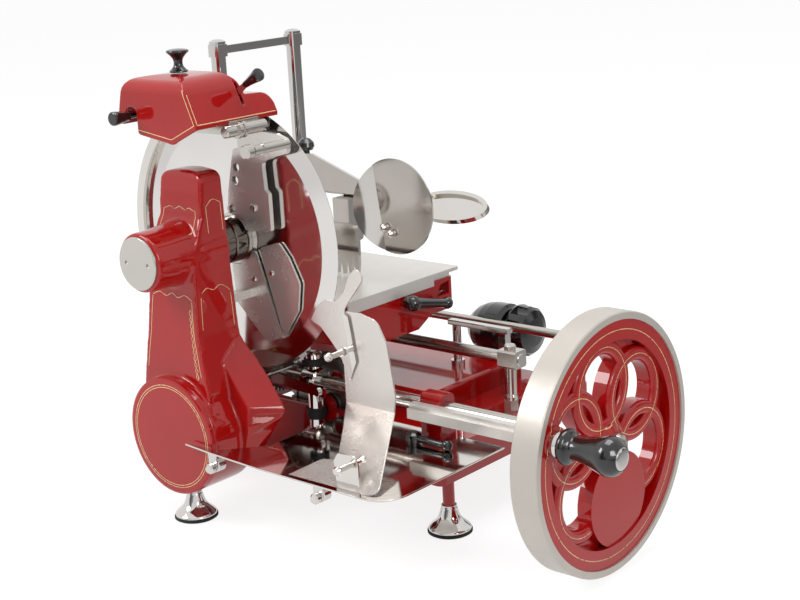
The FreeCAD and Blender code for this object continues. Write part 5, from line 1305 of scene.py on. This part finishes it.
# ---- stage, lamps and camera ------------------------------------------------------------------------
@dataclass
class Stage:
    """Pale floor, white surroundings with painted reflections, and soft lamps, in metres."""

    floor_size: float = 80.0
    glow_share: float = 0.7     # part of the paper that glows; the rest takes light and shadow
    paper_glow: float = 1.2
    painted_dark_reflection_span: tuple[float, float] = (0.55, 1.5)    # x + y over which the paper is painted dark in reflections only
    # brightness of that painted dark reflection, near and far
    painted_dark_reflection_glow: tuple[float, float] = (1.05, 0.1)
    surround: float = 0.55
    # painted reflections: screens, a window and a ceiling that only glossy rays see
    screens: float = 1.5        # how often the painted light and dark screens follow round the studio in reflections
    painted_screen_edge: tuple[float, float] = (0.42, 0.55)
    painted_screen_glow: tuple[float, float] = (0.12, 0.95)
    painted_window_way: tuple[float, float, float] = (-0.95, 0.1, 0.3)
    painted_window_edge: tuple[float, float] = (0.1, 0.55)
    painted_ceiling_edge: tuple[float, float] = (0.45, 0.8)
    aim: tuple[float, float, float] = (0.2, 0.15, 0.25)

    def build(self) -> None:
        """Make the floor, the world and the lamps."""
        self._floor()
        self._world()
        self._lamp("key_lamp", (-1.4, -2.1, 2.3), 1.3, 52.0)
        self._lamp("side_lamp", (2.7, -0.7, 1.3), 0.9, 20.0)
        self._lamp("top_lamp", (0.2, 0.5, 2.8), 1.6, 34.0)

    def _floor(self) -> None:
        """Lay the white paper, which keeps the shadow and shows in polished metal, where a painted dark
        reflection takes over beyond the flywheel end.
        """
        mesh = bpy.data.meshes.new("floor")
        half = self.floor_size / 2
        mesh.from_pydata([(-half, -half, 0), (half, -half, 0), (half, half, 0), (-half, half, 0)],
                         [], [(0, 1, 2, 3)])
        floor = new_piece("floor", mesh)
        material = bpy.data.materials.new("pale_floor")
        material.use_nodes = True
        tree = material.node_tree
        tree.nodes.clear()
        path = add_node(tree, "ShaderNodeLightPath")
        glow = add_node(tree, "ShaderNodeMath", {
            0: path.outputs["Is Camera Ray"], 1: path.outputs["Is Glossy Ray"]}, operation="MAXIMUM")
        share = add_node(tree, "ShaderNodeMath", {
            0: glow.outputs[0], 1: self.glow_share}, operation="MULTIPLY")
        # painted reflection: in reflections only, the paper turns dark beyond the flywheel end, which paints
        # a deep tone on polished sides
        place = add_node(tree, "ShaderNodeTexCoord").outputs["Object"]
        spot = add_node(tree, "ShaderNodeSeparateXYZ", {0: place})
        along = add_node(tree, "ShaderNodeMath", {
            0: spot.outputs["X"], 1: spot.outputs["Y"]}, operation="ADD")
        painted_dark_reflection = ramp(tree, along.outputs[0], self.painted_dark_reflection_span, self.painted_dark_reflection_glow)
        seen = add_node(tree, "ShaderNodeMix", {
            "Factor": path.outputs["Is Glossy Ray"], 2: self.paper_glow, 3: painted_dark_reflection}, data_type="FLOAT")
        light = add_node(tree, "ShaderNodeEmission", {"Color": (1, 1, 1, 1), "Strength": seen.outputs[0]})
        matt = add_node(tree, "ShaderNodeBsdfDiffuse", {"Color": linear("#E8E8E8")})
        mixed = add_node(tree, "ShaderNodeMixShader", {
            0: share.outputs[0], 1: matt.outputs[0], 2: light.outputs[0]})
        add_node(tree, "ShaderNodeOutputMaterial", {"Surface": mixed.outputs[0]})
        mesh.materials.append(material)

    def _world(self) -> None:
        """Light the studio evenly, and paint screens, a window and a ceiling into what polished metal
        reflects, for glossy rays only.
        """
        world = bpy.data.worlds.new("studio")
        bpy.context.scene.world = world
        world.use_nodes = True
        tree = world.node_tree
        tree.nodes.clear()
        path = add_node(tree, "ShaderNodeLightPath")
        seen = add_node(tree, "ShaderNodeMath", {
            0: path.outputs["Is Camera Ray"], 1: path.outputs["Is Transmission Ray"]},
            operation="MAXIMUM")
        plain = add_node(tree, "ShaderNodeBackground", {
            "Color": (1, 1, 1, 1), "Strength": self.surround})
        # painted reflections: black and white screens round the studio, seen by glossy rays only, which
        # polished metal shows as tall streaks
        way = add_node(tree, "ShaderNodeTexCoord").outputs["Generated"]
        tall = add_node(tree, "ShaderNodeMapping", {"Vector": way, "Scale": (1.0, 1.0, 0.28)})
        screens = add_node(tree, "ShaderNodeTexNoise", {
            "Vector": tall.outputs["Vector"], "Scale": self.screens, "Detail": 1.5})
        shade = ramp(tree, screens.outputs["Fac"], self.painted_screen_edge, self.painted_screen_glow, "SMOOTHSTEP")
        # painted reflection of a bright window on the left, for glossy rays only
        side = add_node(tree, "ShaderNodeVectorMath", {0: way, 1: self.painted_window_way}, operation="DOT_PRODUCT")
        window = ramp(tree, side.outputs["Value"], self.painted_window_edge, (0.0, 1.0), "SMOOTHSTEP")
        bright = add_node(tree, "ShaderNodeMath", {0: shade, 1: window}, operation="MAXIMUM")
        # painted reflection of a bright ceiling above, for glossy rays only
        height = add_node(tree, "ShaderNodeSeparateXYZ", {0: way})
        ceiling = ramp(tree, height.outputs["Z"], self.painted_ceiling_edge, (0.0, 1.0), "SMOOTHSTEP")
        above = add_node(tree, "ShaderNodeMath", {0: bright.outputs[0], 1: ceiling}, operation="MAXIMUM")
        painted_reflection = add_node(tree, "ShaderNodeBackground", {
            "Color": (1, 1, 1, 1), "Strength": above.outputs[0]})
        lit = add_node(tree, "ShaderNodeMixShader", {
            0: path.outputs["Is Glossy Ray"], 1: plain.outputs[0], 2: painted_reflection.outputs[0]})
        white = add_node(tree, "ShaderNodeBackground", {"Color": (1, 1, 1, 1), "Strength": 1.0})
        mixed = add_node(tree, "ShaderNodeMixShader", {
            0: seen.outputs[0], 1: lit.outputs[0], 2: white.outputs[0]})
        add_node(tree, "ShaderNodeOutputWorld", {"Surface": mixed.outputs[0]})

    def _lamp(self, name: str, place: tuple[float, float, float], size: float, watts: float) -> None:
        """Hang a square soft lamp that faces the machine.

        Args:
            name: name of the lamp.
            place: where it hangs.
            size: length of its side.
            watts: its power.
        """
        data = bpy.data.lights.new(name, "AREA")
        data.shape = "SQUARE"
        data.size = size
        data.energy = watts
        lamp = bpy.data.objects.new(name, data)
        lamp.location = place
        lamp.rotation_euler = (Vector(self.aim) - Vector(place)).to_track_quat("-Z", "Y").to_euler()
        bpy.context.scene.collection.objects.link(lamp)


@dataclass
class StudioCamera:
    """Camera over the flywheel end, turned a little about its own axis."""

    place_mm: tuple[float, float, float] = (1255.0, -1072.0, 664.6)
    yaw: float = 41.17
    pitch: float = 14.69
    roll: float = -3.02
    focal_px: float = 1566.9
    image_px: float = 800.0
    sensor_mm: float = 36.0

    def build(self) -> None:
        """Make the camera and set it as the scene's."""
        yaw, pitch, roll = (math.radians(a) for a in (self.yaw, self.pitch, self.roll))
        ahead = Vector((-math.sin(yaw) * math.cos(pitch), math.cos(yaw) * math.cos(pitch),
                        -math.sin(pitch)))
        level = ahead.cross(Vector((0, 0, 1))).normalized()
        above = level.cross(ahead)
        right = level * math.cos(roll) + above * math.sin(roll)
        up = above * math.cos(roll) - level * math.sin(roll)
        data = bpy.data.cameras.new("camera")
        data.sensor_width = self.sensor_mm
        data.lens = self.focal_px / self.image_px * self.sensor_mm
        camera = bpy.data.objects.new("camera", data)
        turn = Matrix((right, up, -ahead)).transposed().to_4x4()
        camera.matrix_world = Matrix.Translation(mm(*self.place_mm)) @ turn
        bpy.context.scene.collection.objects.link(camera)
        bpy.context.scene.camera = camera


def corners(box: tuple[Vector, Vector]) -> list[list[float]]:
    """Lowest and highest corner as plain lists."""
    return [list(corner) for corner in box]


def main() -> None:
    """Build the scene in order."""
    logging.basicConfig(level=logging.INFO, format="%(name)s: %(message)s")
    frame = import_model()
    bpy.context.scene.view_settings.view_transform = "Standard"
    StudioCamera().build()
    Stage().build()
    shop = PaintShop()
    shop.mix()
    FrameDressing(shop).dress(frame)
    fitter = Fitter(shop, frame)
    column = ColumnCasting(fitter).build()
    cover = SharpenerCover(fitter).build()
    SpindleAndBracket(fitter).build()
    BladeCovers(fitter).build()
    SlicingPlates(fitter).build()
    SliceTray(fitter).build()
    TurnedPieces(fitter).build()
    LineWork(Pinstriper(fitter), frame).build(column, cover)


if __name__ == "__main__":
    main()
